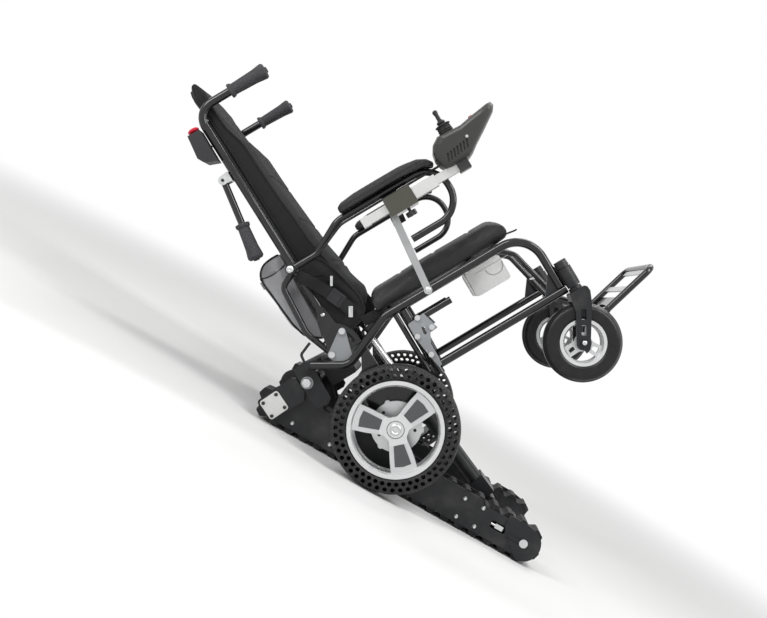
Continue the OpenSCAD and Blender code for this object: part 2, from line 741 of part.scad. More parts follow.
module footrest_hanger() color("#17181a") in_chair() difference() {
    union() {
        both() pipe(at_y([[hanger_x, seat_rail_z], [492, seat_rail_z - 36], [527, 222],
                          foot_hinge], hanger_y), [30, 40], 7);
        both() pin(foot_hinge, hanger_y - 13, hanger_y + 13, boss_r);
        pin([512, 292], -hanger_y, hanger_y, 6);
    }
    both() pin(foot_hinge, hanger_y - 14, hanger_y + 14, foot_r + fit);
    pin([hanger_x, seat_rail_z], -rail_in, rail_in, tube_r);
}

// Wheels

// Outline of a rim opening between two spokes, by radius and angle
function rim_opening(r0, r1, half) = [for (i = [0:24])
    let (a = -half + 2 * half * i / 24,
         r = i % 24 == 0 ? r1 : r0 + (r1 - r0) * pow(abs(a) / half, 4.2))
    r * [cos(a), sin(a)]];
function rim_arc(r1, half) = [for (i = [1:11])
    let (a = half - 2 * half * i / 12) r1 * [cos(a), sin(a)]];

// Cast wheel face of three forked spokes
module spoke_face(r_out, r_hub, face) {
    difference() {
        circle(r_out);
        for (k = [0:2]) rotate(60 + 120 * k)
            polygon(concat(rim_opening(r_hub, face, 42), rim_arc(face, 42)));
        for (k = [0:2]) rotate(120 * k)
            polygon([[r_hub + 0.076 * face, -0.09 * face], [face * 0.85, -0.145 * face],
                     [face * 0.87, 0], [face * 0.85, 0.145 * face],
                     [r_hub + 0.076 * face, 0.09 * face]]);
    }
}

module rear_rim(side) {
    r = rear_rim_d / 2;
    half = rear_tyre_width / 2;
    translate([0, side * rear_wheel_y, rear_axle_z]) rotate([-90 * side, 0, 0]) {
        rotate_extrude() polygon([
            [r - 16, -half + 8], [r - 10, -half + 4], [r, -half + 4], [r, -half + 9],
            [r - 5, -half + 13], [r - 5, half - 13], [r, half - 9], [r, half - 4],
            [r - 10, half - 4], [r - 14, half - 9], [r - 11, 0]]);
        translate([0, 0, half - 22]) linear_extrude(12)
            rotate(11) spoke_face(r - 9, 31, r - 14);
        translate([0, 0, -half + 1]) cylinder(r = 24, h = 2 * half - 9);
        translate([0, 0, half - 12]) cylinder(r1 = 17, r2 = 15, h = 6);
        translate([0, 0, -half - 30]) cylinder(r = shaft_r, h = 40);
    }
}

module rear_tyre(side) {
    r = rear_rim_d / 2;
    half = rear_tyre_width / 2;
    out = rear_wheel_d / 2;
    holes = [r + 12, r + 26];
    translate([0, side * rear_wheel_y, rear_axle_z]) rotate([-90 * side, 0, 0])
        difference() {
            rotate_extrude() polygon([
                [r, -half + 10], [r + 3, -half + 4], [r + 8, -half], [out - 12, -half],
                [out - 4, -half + 7], [out, -half + 18], [out, half - 18],
                [out - 4, half - 7], [out - 12, half], [r + 8, half], [r + 3, half - 4],
                [r, half - 10]]);
            for (k = [0:tyre_holes - 1], j = [0, 1])
                rotate([0, 0, (k + j / 2) * 360 / tyre_holes])
                    translate([holes[j], 0, -half - 1])
                        cylinder(r = tyre_hole_d / 2, h = 2 * half + 2, $fn = 16);
        }
}

module caster_fork(side) difference() {
    leg_in = caster_width / 2 + 3;
    union() {
        translate([stem_x, side * caster_y, crown_top - 1])
            cylinder(r = stem_r, h = housing_low - crown_top + 46);
        translate([stem_x, side * caster_y, crown_top - 1]) cylinder(r = 17, h = 9);
        slab(side * caster_y - leg_in - 5, 2 * leg_in + 10) polygon([
            [stem_x - 24, crown_top - 3], [stem_x - 21, crown_top],
            [stem_x + 19, crown_top], [stem_x + 24, crown_top - 5],
            [stem_x + 25, crown_bottom + 21], [stem_x - 28, crown_bottom + 21]]);
        for (y = [-leg_in - 5, leg_in])
            slab(side * caster_y + y, 5) polygon(concat(
                [[stem_x - 28, crown_bottom + 22], [stem_x - 33, crown_bottom - 6]],
                arc(caster_axle + [-3, 0], 17, 170, 250, 5),
                [caster_axle + [-8, -26], caster_axle + [4, -22]],
                arc(caster_axle + [1, 0], 17, -40, -5, 3),
                [[stem_x + 12, crown_bottom - 8], [stem_x + 25, crown_bottom + 22]]));
    }
    // Two windows in each leg
    for (s = [0.30, 0.68])
        let (c = caster_axle + ([stem_x - 3, crown_bottom + 8] - caster_axle) * s)
        slab(side * caster_y - 60, 120) translate(c) rotate(-30)
            polygon(rounded(13, 26, 3));
    pin(caster_axle, side * caster_y - 60, side * caster_y + 60, axle_r + fit);
}

module caster_rim(side) {
    r = caster_rim_d / 2;
    half = caster_width / 2;
    translate([caster_axle.x, side * caster_y, caster_axle.y]) rotate([-90 * side, 0, 0])
        difference() {
            union() {
                rotate_extrude() polygon([
                    [r - 12, -half + 7], [r - 8, -half + 3], [r, -half + 3],
                    [r, half - 3], [r - 8, half - 3], [r - 12, half - 7], [r - 9, 0]]);
                translate([0, 0, half - 17]) linear_extrude(9)
                    rotate(180) spoke_face(r - 8, 22, r - 11);
                translate([0, 0, -half]) cylinder(r = 16, h = 2 * half);
            }
            translate([0, 0, -half - 1]) cylinder(r = axle_r + gap / 2, h = 2 * half + 2);
        }
}

module caster_tyre(side) {
    r = caster_rim_d / 2;
    half = caster_width / 2;
    out = caster_d / 2;
    translate([caster_axle.x, side * caster_y, caster_axle.y]) rotate([-90 * side, 0, 0])
        rotate_extrude() polygon(concat([[r, -half + 4], [r + 5, -half + 1]],
            arc([out - 18, -half + 14], 14, -100, -20, 6),
            [[out, -6], [out, 6]],
            arc([out - 18, half - 14], 14, 20, 100, 6), [[r + 5, half - 1], [r, half - 4]]));
}

// Axle bolt of a caster, kept with its fork
module caster_bolt(side) {
    reach = caster_width / 2 + 8;
    y = side * caster_y;
    pin(caster_axle, y - reach - 4, y + reach + 4, axle_r);
    pin(caster_axle, y + reach + 0.1, y + reach + 5, 9);
    pin(caster_axle, y - reach - 5, y - reach - 0.1, 9);
}

module forked(side) union() {
    caster_fork(side);
    caster_bolt(side);
}

// Backrest

back_points = [lock_pin + [-21, 62], [-34, grip_z], [66, grip_z]];
bar_heights = [arm_pivot.y + 60, grip_z - 120];
bar_r = 7;
// Place of a back tube's middle at the height z
function back_tube_x(z) = back_points[0].x + (back_points[1].x - back_points[0].x)
    * (z - back_points[0].y) / (back_points[1].y - back_points[0].y);

module recline_plate() difference() {
    a = atan2(lock_pin.y - hinge.y, lock_pin.x - hinge.x);
    r = norm(lock_pin - hinge);
    slab(recline_plate_y, recline_plate) polygon(concat(
        arc(hinge, 12, 120, 275, 8), [hinge + [40, -14]],
        arc(hinge, r + 16, a - recline_travel - 12, a + 16, 8),
        arc(back_points[0] + [0, 12], 11, 10, 170, 8)));
    slab(recline_plate_y - 1, recline_plate + 2) polygon(concat(
        arc(hinge, r + 4 + gap, a - recline_travel - 6, a + 5, 12),
        arc(hinge, r - 4 - gap, a + 5, a - recline_travel - 6, 12)));
    pin(hinge, recline_plate_y - 1, recline_plate_y + recline_plate + 1, 5 + fit);
}

module back_frame() color("#131416") in_chair() {
    brace = [arm_pivot + [-8, -3], [-72, arm_pivot.y - 22], [-80, hinge.y + 78],
             hinge + [-3, 8]];
    both() {
        pipe(at_y(back_points, back_y), [46], tube_r);
        pipe(at_y(brace, back_y), [24, 60], 8);
        difference() {
            pin(hinge, back_y - 9, recline_plate_y + 0.5, 11);
            pin(hinge, recline_plate_y - 7, recline_plate_y + 1, 5 + fit);
        }
        pin(arm_pivot, back_y - 9, arm_y - arm_r - gap, 10);
        pin(arm_pivot, arm_y - arm_r - gap - 1, arm_y + arm_r + 3, 6);
        pin(arm_pivot, arm_y + arm_r + gap, arm_y + arm_r + 6, 9);
        recline_plate();
        pin(back_points[0] + [0, 12], back_y, recline_plate_y + recline_plate + 4, 6);
        pin(back_points[0] + [0, 12], recline_plate_y + recline_plate,
            recline_plate_y + recline_plate + 4, 9);
    }
    // Cross bars behind the cushion
    for (z = bar_heights)
        pin([back_tube_x(z), z], -back_y, back_y, bar_r);
}

module back_cushion() color("#1c1c1d") in_chair() {
    z0 = seat_top + 34;
    z1 = back_top;
    // Distance from the rear edge, which lies against the back tubes
    form = [[0, z0 + 10], [8, z0], [52, z0 + 2], [76, z0 + 8], [87, z0 + 26],
        [91, z0 + 120], [90, z0 + 240], [84, z0 + 380], [74, z0 + 480], [68, z0 + 560],
        [60, z1 - 92], [50, z1 - 52], [38, z1 - 20], [24, z1 - 3],
        [10, z1 - 6], [3, z1 - 30], [0, z0 + 480], [0, z0 + 240]];
    outline = [for (q = form) [back_tube_x(q.y) + bar_r + gap + q.x, q.y]];
    lofted(outline, [20, (z0 + z1) / 2],
           soft_stations(back_y - tube_r - 2, 0.3, 0.035, 22));
}

module back_bag() color("#8b8c8d") in_chair() {
    z = arm_pivot.y;
    front = back_tube_x(bar_heights[0]) - bar_r - gap;
    outline = [[-50, z - 196], [-92, z - 166], [-108, z - 120], [-121, z + 6],
        [-119, z + 34], [-108, z + 52], [-92, z + 64], [-58, z + 70], [front - 4, z + 70],
        [front, z + 64], [front, z + 50], [front - 3, z - 60], [front - 6, z - 150]];
    lofted(outline, [-80, z - 60], soft_stations(176, 0.1, 0.06, 18));
}

module lap_belt() color("#1f2022") in_chair() both() difference() {
    y = back_y + tube_r + gap;
    p = [-14, arm_pivot.y - 30];
    union() {
        slab(y, 2.4) polygon([p + [-12, 14], p + [10, 16], p + [62, -72], p + [60, -96],
            p + [52, -132], p + [34, -132], p + [42, -98], p + [42, -76]]);
        slab(y, 7) translate(p + [51, -92]) rotate(8) polygon(rounded(26, 46, 4));
    }
    slab(y + 5, 4) translate(p + [51, -92]) rotate(8) polygon(rounded(14, 20, 3));
}

module grip_form(length) rotate([0, 90, 0]) rotate_extrude() polygon([
    [0, 0], [18, 0], [19, 3], [18, 8], [15, 12], [16, length * 0.35],
    [17.5, length * 0.7], [20, length - 12], [20.5, length - 5], [17, length],
    [8, length + 1], [7.5, length + 4], [0, length + 5]]);

module push_grips() color("#2b2c2d") in_chair() both()
    translate([back_points[2].x + gap, back_y, grip_z]) grip_form(grip_length);

module attendant_box() color("#2a2b2e") in_chair() {
    z = grip_z - 51;
    x = back_points[1].x - tube_r - 2;
    difference() {
        slab(-back_y - 24, 44) polygon([[x, z], [x - 34, z + 1], [x - 41, z - 60],
            [x - 29, z - 79], [x, z - 90]]);
        translate([x - 17, -back_y - 2, z - 14]) cylinder(r = 7 + fit, h = 20);
    }
    pin([x + 1, z - 45], -back_y - 5, -back_y + 5, 3);
}

module stop_button() color("#c8202e") in_chair() {
    x = back_points[1].x - tube_r - 19;
    translate([x, -back_y - 2, grip_z - 50]) rotate_extrude() polygon([
        [0, -10], [7, -10], [7, 5], [13, 5.5], [15, 8], [15, 11], [12, 14], [0, 15]]);
}

// Hinged handle for the attendant
handle_pivot = [-62, 912];
handle_tip = [-92, 697];
handle_y = back_y + 4;
bracket_x = back_tube_x(handle_pivot.y) - tube_r - 0.5;

module handle_bracket() color("#a8abad") in_chair() mirror([0, 1, 0]) difference() {
    union() {
        for (y = [handle_y - 14, handle_y + 10])
            slab(y, 4) polygon(concat(arc(handle_pivot, 12, 110, 290, 10),
                [[bracket_x, handle_pivot.y - 12],
                 [bracket_x, handle_pivot.y + 14]]));
        slab(handle_y - 14, 28) polygon([
            [bracket_x - 4, handle_pivot.y - 12],
            [bracket_x, handle_pivot.y - 12],
            [bracket_x, handle_pivot.y + 14],
            [bracket_x - 4, handle_pivot.y + 14]]);
    }
    pin(handle_pivot, handle_y - 20, handle_y + 20, 4 + fit);
}

module rear_handle() color("#17181a") in_chair() mirror([0, 1, 0]) {
    d = unit(handle_tip - handle_pivot);
    e = handle_pivot + d * 118;
    pin(handle_pivot, handle_y - 10 + gap, handle_y + 10 - gap, 10);
    pin(handle_pivot, handle_y - 16, handle_y + 16, 4);
    rod([handle_pivot.x, handle_y, handle_pivot.y], [e.x, handle_y, e.y], 9);
}

module rear_handle_grip() color("#2b2c2d") in_chair() mirror([0, 1, 0]) {
    d = unit(handle_tip - handle_pivot);
    e = handle_pivot + d * (118 + gap);
    translate([e.x, handle_y, e.y]) rotate([0, -atan2(d.y, d.x), 0]) grip_form(95);
}

// Armrests

arm_points = [arm_pivot, [50, arm_pivot.y], [135, arm_z], [417, arm_z],
              [417, arm_z - 134], [272, arm_z - 134]];

module arm_tube(side) {
    y = side * arm_y;
    lug_y = post_y + post_thick + 1.5;
    difference() {
        union() {
            pipe(at_y(arm_points, y), [40, 60, 64, 64], arm_r);
            pin(arm_pivot, y - arm_r, y + arm_r, 13);
            // Lug that carries the head of the post
            slab(side > 0 ? lug_y : -lug_y - 6, 6) polygon([
                post_head + [-11, -8], post_head + [-6, -12], post_head + [8, -12],
                [clamp_x[0] + 40, post_head.y - 12], [clamp_x[0] + 44, arm_z - arm_r + 4],
                post_head + [-8, arm_z - arm_r + 4 - post_head.y]]);
        }
        pin(arm_pivot, y - arm_r - 1, y + arm_r + 1, 6 + fit);
        rod([arm_points[5].x - 1, y, arm_points[5].y], [arm_points[5].x + 14, y, arm_points[5].y],
            arm_r - 2);
    }
    pin(post_head, side > 0 ? post_y - 2 : -lug_y - 3,
        side > 0 ? lug_y + 3 : -post_y + 2, 5);
}

// Clamp that holds the controller rail under the right armrest
module rail_clamp() {
    inner = post_y + post_thick + 1.5;
    side = rail_side + 2 * gap;
    difference() {
        translate([clamp_x[0], -inner - clamp_size.y, rail_z - clamp_size.z / 2])
            cube(clamp_size);
        translate([clamp_x[0] - 1, -rail_y - side / 2, rail_z - side / 2])
            cube([clamp_size.x + 2, side, side]);
        translate([clamp_x[0] + 46, -rail_y, rail_z - clamp_size.z / 2 - 1])
            cylinder(r = 4 + fit, h = 30);
    }
}

module right_arm() {
    arm_tube(-1);
    rail_clamp();
}

module arm_pad() color("#161617") {
    z = arm_z + arm_r + gap;
    t = pad_thickness;
    outline = [[150, 4], [156, 0], [260, -0.3], [362, 0], [388, -7], [405, -17], [411, -15],
        [412, -8], [402, 8], [380, t - 2], [345, t + 1], [240, t + 1.5], [164, t + 1],
        [152, t - 5]];
    difference() {
        translate([0, 0, z]) lofted(outline, [280, 0], soft_stations(26, 0.05, 0.3, 14));
        rod([100, 0, arm_z], [500, 0, arm_z], arm_r + gap);
        bend([135, 0, arm_z], [417, 0, arm_z], [417, 0, arm_z - 134], 64, arm_r + gap);
    }
}

module arm_post(side) {
    d = unit(post_head - post_foot);
    n = [d.y, -d.x] * 9;
    y = side > 0 ? post_y : -post_y - post_thick;
    difference() {
        slab(y, post_thick) polygon(concat(
            arc(post_head, 9, atan2(n.y, n.x), atan2(n.y, n.x) + 180, 10),
            arc(post_foot, 9, atan2(n.y, n.x) + 180, atan2(n.y, n.x) + 360, 10)));
        pin(post_head, y - 1, y + post_thick + 1, 5.5);
        pin(post_foot, y - 1, y + post_thick + 1, 5 + fit);
    }
}

// Sliding rail with its end plug, stop sleeve and controller mount
module controller_rail() color("#e2e3e1") in_chair() {
    h = rail_side / 2;
    translate([rail_rear, -rail_y - h, rail_z - h])
        cube([rail_front - rail_rear, rail_side, rail_side]);
    translate([rail_rear - 20, -rail_y - h - 1.5, rail_z - h - 1.5])
        cube([20, rail_side + 3, rail_side + 3]);
    translate([clamp_x[1] + 1, -rail_y - h - 4, rail_z - h - 4])
        cube([64, rail_side + 8, rail_side + 8]);
    translate([rail_front - 6, -rail_y - h - 4, rail_z - h - 5]) cube([30, rail_side + 8, 27]);
}

module controller_case() color("#2c2d2f") in_chair() difference() {
    z = rail_z + 15;
    outline = [[428, z - 6], [444, z - 9], [495, z - 9], [506, z - 4], [528, z + 12],
        [560, z + 32], [600, z + 59], [609, z + 72], [606, z + 82], [594, z + 83],
        [545, z + 76], [512, z + 70], [470, z + 73], [448, z + 74], [430, z + 62],
        [419, z + 44], [416, z + 26], [420, z + 8]];
    union() {
        translate([0, -control_y, 0]) lofted(outline, [490, z + 30], [
            [-44, 0.72, 0.66], [-42, 0.84, 0.8], [-37, 0.92, 0.9], [-28, 0.98, 0.97],
            [0, 1, 1],
            [28, 0.98, 0.97], [37, 0.92, 0.9], [42, 0.84, 0.8], [44, 0.72, 0.66]]);
    }
    translate([stick_x, -control_y, stick_z + 3]) cylinder(r = 21, h = 30);
    translate([stick_x, -control_y, stick_z - 16]) cylinder(r = 12, h = 30);
    translate([stick_x, -control_y, stick_z]) rotate([90, 0, 0])
        cylinder(r = 1.5 + fit, h = 26, center = true);
    translate([548, -control_y, z + 64]) cylinder(r = 6 + fit, h = 30);
    // The rail and its mount block fit underneath
    translate([rail_front - 7, -rail_y - rail_side / 2 - 5, rail_z - 20])
        cube([32, rail_side + 10, 20 + rail_side / 2]);
    translate([400, -rail_y - rail_side / 2 - gap, rail_z - 20])
        cube([rail_front - 398, rail_side + 2 * gap, 20 + rail_side / 2]);
    // Vent slots in both sides
    for (k = [0:6], s = [-1, 1])
        translate([446 + 9.5 * k, -control_y + s * 44, z + 14 + 1.2 * k]) rotate([0, 20, 0])
            cube([4.5, 10, 22], center = true);
}

// Ring that turns in the case about Y, with the stick turning in it about X
module joystick_gimbal() color("#202122") in_chair()
    translate([stick_x, -control_y, stick_z]) difference() {
        union() {
            cylinder(r = 9, h = 5, center = true);
            rotate([90, 0, 0]) cylinder(r = 1.5, h = 25, center = true);
        }
        cylinder(r = 5.8, h = 6, center = true);
        rotate([0, 90, 0]) cylinder(r = 1.5 + fit, h = 30, center = true);
    }

module joystick() color("#1a1a1b") in_chair()
    translate([stick_x, -control_y, stick_z]) {
        rotate_extrude() polygon([
            [0, -8], [4, -8], [4, 11], [13.5, 11], [15.5, 12.5], [13.5, 13.2], [14, 14.5],
            [11.5, 15],
            [12.5, 17], [10, 19], [11, 22], [8.5, 24], [9.5, 27], [7, 29], [8, 31],
            [11, 34], [11, 37], [5.5, 42], [5, 56], [6.5, 62], [6.5, 66], [4, 69], [0, 70]]);
        rotate([0, 90, 0]) cylinder(r = 1.5, h = 16, center = true);
    }

module horn_button() color("#8f1d1d") in_chair()
    translate([548, -control_y, rail_z + 15 + 67]) cylinder(r = 6, h = 13);

module star_knob() color("#1a1b1c") in_chair()
    translate([clamp_x[0] + 46, -rail_y, rail_z - clamp_size.z / 2]) {
        translate([0, 0, -14]) cylinder(r = 4, h = 24);
        translate([0, 0, -20]) linear_extrude(12) difference() {
            circle(14);
            for (k = [0:4]) rotate(72 * k) translate([16, 0]) circle(5);
        }
    }

module controller_cable() color("#101112") in_chair() {
    // Clipped along the outside of the armrest tube
    drop = 14;
    pipe(at_y([arm_pivot + [20, -4], [54, arm_pivot.y - 4], [138, arm_z - drop],
               [417.6, arm_z - drop]], -arm_y - arm_r - 3 - gap), [50, 60], 3);
}

// Footrest

module along_foot() in_chair() translate([foot_hinge.x, 0, foot_hinge.y])
    rotate([0, -footrest_slope, 0]) children();

module footrest_frame() color("#17181a") along_foot() {
    half = footrest_gauge / 2;
    pipe([[0, -half, 0], [footrest_length, -half, 0], [footrest_length, half, 0],
          [0, half, 0]], [26, 26], foot_r);
    rod([0, -half - foot_r, 0], [0, half + foot_r, 0], foot_r);
    translate([boss_r + 1.5, -half, -foot_r]) cube([38, 2 * half, 5]);
}

module footrest_bars() color("#b4b6b5") along_foot() {
    half = footrest_gauge / 2 - foot_r;
    toe = footrest_length - foot_r - gap;
    translate([footrest_length / 2 - 9, -half, -3]) cube([18, 2 * half, 5]);
    translate([toe - 16, 18 - half, -3]) cube([16, 2 * half - 36, 5]);
}

track_chassis();
track_side_plates();
track_belts();
slide_rails();
track_gearcases();
gearcase_covers();
track_motor();
track_fasteners();
drive_rollers();
idler_rollers();
actuator_case();
actuator_rod();
seat_rails();
base_tubes();
rear_posts();
rear_cross_frame();
frame_plates();
seat_cross_tubes();
seat_cushion();
caster_housings();
battery_packs();
drive_motors();
frame_bolts();
control_box();
footrest_hanger();
color("#c4c6c8") in_chair() rear_rim(1);  // rear_rim_left
color("#1d1e1f") in_chair() rear_tyre(1);  // rear_tyre_left
color("#c4c6c8") in_chair() rear_rim(-1);  // rear_rim_right
color("#1d1e1f") in_chair() rear_tyre(-1);  // rear_tyre_right
color("#24262a") in_chair() forked(1);  // caster_fork_left
color("#c4c6c8") in_chair() caster_rim(1);  // caster_rim_left
color("#1d1e1f") in_chair() caster_tyre(1);  // caster_tyre_left
color("#24262a") in_chair() forked(-1);  // caster_fork_right
color("#c4c6c8") in_chair() caster_rim(-1);  // caster_rim_right
color("#1d1e1f") in_chair() caster_tyre(-1);  // caster_tyre_right
back_frame();
back_cushion();
back_bag();
lap_belt();
push_grips();
attendant_box();
stop_button();
handle_bracket();
rear_handle();
rear_handle_grip();
color("#111214") in_chair() arm_tube(1);  // arm_tube_left
in_chair() translate([0, arm_y, 0]) arm_pad();  // arm_pad_left
color("#b4b6b5") in_chair() arm_post(1);  // arm_post_left
color("#111214") in_chair() right_arm();  // arm_tube_right
in_chair() translate([0, -arm_y, 0]) arm_pad();  // arm_pad_right
color("#b4b6b5") in_chair() arm_post(-1);  // arm_post_right
controller_rail();
controller_case();
joystick_gimbal();
joystick();
horn_button();
star_knob();
controller_cable();
footrest_frame();
footrest_bars();
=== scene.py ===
# Stair climbing wheelchair: finishes, soft goods, small hardware, light and camera.
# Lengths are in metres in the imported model's frame. Points and sizes on the upright chair or
# the track unit, which go through chair() and track(), and turned profiles are in mm.
import json
import math
import bpy
from mathutils import Matrix, Vector, noise


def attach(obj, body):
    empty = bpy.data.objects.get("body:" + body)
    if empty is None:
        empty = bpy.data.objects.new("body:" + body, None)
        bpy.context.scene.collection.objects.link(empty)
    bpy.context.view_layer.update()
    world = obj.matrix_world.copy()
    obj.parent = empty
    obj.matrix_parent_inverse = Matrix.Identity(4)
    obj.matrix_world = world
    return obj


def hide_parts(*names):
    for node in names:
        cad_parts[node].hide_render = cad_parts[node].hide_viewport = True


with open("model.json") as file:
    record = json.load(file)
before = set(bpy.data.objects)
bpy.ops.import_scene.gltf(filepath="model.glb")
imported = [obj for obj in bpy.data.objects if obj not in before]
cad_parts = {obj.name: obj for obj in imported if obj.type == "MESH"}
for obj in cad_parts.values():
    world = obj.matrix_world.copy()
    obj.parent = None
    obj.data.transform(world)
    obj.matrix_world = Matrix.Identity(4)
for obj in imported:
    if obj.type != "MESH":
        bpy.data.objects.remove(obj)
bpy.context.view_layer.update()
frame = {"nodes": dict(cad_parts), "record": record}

SCENE = bpy.context.scene
CAD = frame["nodes"]

# ---------------- places

SHIFT_MM = 107.206  # from the track unit's zero to the middle of the object
PIVOT_MM = Vector((SHIFT_MM - 160.0, 142.0))  # the axis the chair tips about, X and Z
HINGE_X, HINGE_Z = -142.0, 365.0  # the same axis on the upright chair
HALF, ROOT = 0.5, 0.8660254  # cosine and sine of the 60 degrees it is tipped by


def chair(x, y, z):
    """A point of the upright chair, in mm, as it stands tipped back on its tracks."""
    dx, dz = x - HINGE_X, z - HINGE_Z
    return Vector(((PIVOT_MM.x + HALF * dx - ROOT * dz) / 1000, y / 1000,
                   (PIVOT_MM.y + ROOT * dx + HALF * dz) / 1000))


def upright(point):
    """The chair's own X, Y and Z in mm of a point in the frame."""
    dx, dz = point.x * 1000 - PIVOT_MM.x, point.z * 1000 - PIVOT_MM.y
    return (HALF * dx + ROOT * dz + HINGE_X, point.y * 1000,
            -ROOT * dx + HALF * dz + HINGE_Z)


def track(t, y, h):
    """A point of the track unit, in mm along it, to the left and above the ground."""
    return Vector(((SHIFT_MM + t) / 1000, y / 1000, h / 1000))


CHAIR_X = Vector((HALF, 0, ROOT))
CHAIR_Z = Vector((-ROOT, 0, HALF))
SIDE = Vector((0, 1, 0))
PLUMB = CHAIR_X * 0.52 + CHAIR_Z * 0.854  # upright in the picture
SIDES = (("left", 1), ("right", -1))

WHEEL_Y, AXLE_Z = 284, 159  # middle plane and axle height of the driving wheels
CASTER_X, CASTER_Y, CASTER_Z = 506, 228, 100  # middle of the left caster wheel
STICK_X, BOX_Y = 478, -268  # the joystick, and the middle plane of its box
ARM_CLAMP = (293, 0, 630)  # the cast clamp that holds the joystick's rail
RAIL_BLOCK = (455.5, -280.5, 630)  # rear end of the black block on that rail


def turned(x_axis, y_axis, z_axis, at):
    """A placing matrix from three directions and a place."""
    m = Matrix((x_axis, y_axis, z_axis)).transposed().to_4x4()
    m.translation = at
    return m


def facing_out(side, at):
    """A placing matrix on the chair's axes whose Z points out of one side."""
    return turned(CHAIR_X, CHAIR_Z * -side, SIDE * side, at)


# ---------------- camera and light

CAMERA_COS, CAMERA_SIN = 0.8725, 0.4886  # how far the camera is rolled
CAMERA_AT = (SHIFT_MM / 1000, -2.385, 0.472)


def set_camera():
    """The photograph's camera, square to the right side of the chair."""
    bpy.ops.object.camera_add()
    camera = bpy.context.object
    camera.name = "camera"
    camera.matrix_world = turned((CAMERA_COS, 0, CAMERA_SIN), (-CAMERA_SIN, 0, CAMERA_COS),
                                 (0, -1, 0), CAMERA_AT)
    view = camera.data
    view.lens, view.sensor_width, view.clip_end = 40.41, 36, 60
    view.shift_x, view.shift_y = -0.0554, -0.0117
    SCENE.camera = camera


def add_lamp(name, at, aim, along, length, breadth, power):
    """An area lamp whose long side follows a direction."""
    bpy.ops.object.light_add(type="AREA")
    lamp = bpy.context.object
    lamp.name = name
    light = lamp.data
    light.shape, light.energy = "RECTANGLE", power
    light.size, light.size_y = length, breadth
    away = (Vector(at) - Vector(aim)).normalized()
    long = (Vector(along) - away * away.dot(Vector(along))).normalized()
    lamp.matrix_world = turned(long, away.cross(long), away, at)


# ---------------- materials


def math_node(operation, swapped=False):
    """A method that puts a Math node after a Value."""
    def method(self, *others):
        terms = (*others, self) if swapped else (self, *others)
        return self.nodes.node("Math", {"operation": operation}, dict(enumerate(terms)))
    return method


class Value:
    """A node's output. Arithmetic on it adds Math nodes."""

    __add__, __mul__, __pow__ = (math_node(n) for n in ("ADD", "MULTIPLY", "POWER"))
    __sub__, __rsub__ = math_node("SUBTRACT"), math_node("SUBTRACT", True)
    __abs__, sine = math_node("ABSOLUTE"), math_node("SINE")

    def __init__(self, nodes, socket):
        self.nodes, self.socket = nodes, socket

    def over(self, low, high):
        """0 below low, 1 above high, smooth between."""
        return self.nodes.node("MapRange", {"interpolation_type": "SMOOTHSTEP"},
                               {"Value": self, "From Min": low, "From Max": high})


class Nodes:
    """The node tree of a material or a world, cleared and built anew."""

    def __init__(self, owner):
        owner.use_nodes = True
        self.tree = owner.node_tree
        self.tree.nodes.clear()

    def node(self, kind, settings, sockets, output=0):
        made = self.tree.nodes.new("ShaderNode" + kind)
        for key, value in settings.items():
            setattr(made, key, value)
        for key, value in sockets.items():
            if isinstance(value, Value):
                self.tree.links.new(value.socket, made.inputs[key])
            else:
                made.inputs[key].default_value = value
        return Value(self, made.outputs[output]) if made.outputs else None

    def seen_directly(self):
        """At least 1 for rays from the camera, reflections and see-through."""
        rays = self.tree.nodes.new("ShaderNodeLightPath")
        camera, glossy, through = (
            Value(self, rays.outputs[n])
            for n in ("Is Camera Ray", "Is Glossy Ray", "Is Transmission Ray"))
        return camera + glossy + through


class Finish(Nodes):
    """A material built from nodes on one Principled shader."""

    def __init__(self, name, colour, **constants):
        self.material = bpy.data.materials.new(name)
        super().__init__(self.material)
        self.shader = self.tree.nodes.new("ShaderNodeBsdfPrincipled")
        self.output = self.tree.nodes.new("ShaderNodeOutputMaterial")
        self.tree.links.new(self.shader.outputs[0], self.output.inputs[0])
        self.shader.inputs["Base Color"].default_value = (*colour, 1)
        for key, value in constants.items():
            label = key.replace("_", " ").title().replace("Ior", "IOR")
            self.shader.inputs[label].default_value = value
        self.place = self.node("TexCoord", {}, {}, "Object")

    def along(self, turn, scale=(1, 1, 1), centre=(0, 0, 0)):
        """The place measured on turned and scaled axes."""
        shifted = self.node("VectorMath", {"operation": "SUBTRACT"},
                            {0: self.place, 1: centre})
        return self.node("Mapping", {"vector_type": "POINT"},
                         {"Vector": shifted, "Rotation": turn, "Scale": scale})

    def axis(self, vector, name):
        return self.node("SeparateXYZ", {}, {"Vector": vector}, name)

    def grain(self, scale, detail=3, at=None, rough=0.5):
        return self.node("TexNoise", {}, {"Vector": at or self.place, "Scale": scale,
                                          "Detail": detail, "Roughness": rough}, "Fac")

    def cells(self, scale, feature="F1"):
        return self.node("TexVoronoi", {"feature": feature},
                         {"Vector": self.place, "Scale": scale}, "Distance")

    def tint(self, amount, low, high):
        """A colour between low and high."""
        return self.node("Mix", {"data_type": "RGBA"},
                         {0: amount, 6: (*low, 1) if isinstance(low, tuple) else low,
                          7: (*high, 1) if isinstance(high, tuple) else high}, 2)

    def between(self, amount, low, high):
        return self.node("MapRange", {}, {"Value": amount, "To Min": low, "To Max": high})

    def use(self, name, value):
        self.tree.links.new(value.socket, self.shader.inputs[name])

    def with_skin(self, tone, rough, height, distance):
        """The material with its colour, roughness, and relief distance metres deep."""
        self.use("Base Color", tone)
        self.use("Roughness", rough)
        self.use("Normal", self.node("Bump", {}, {"Height": height, "Distance": distance,
                                                  "Strength": 1.0}))
        return self.material


WHITE = (1, 1, 1, 1)
TIPPED = (0, math.radians(60), 0)  # turns the frame's axes onto the chair's
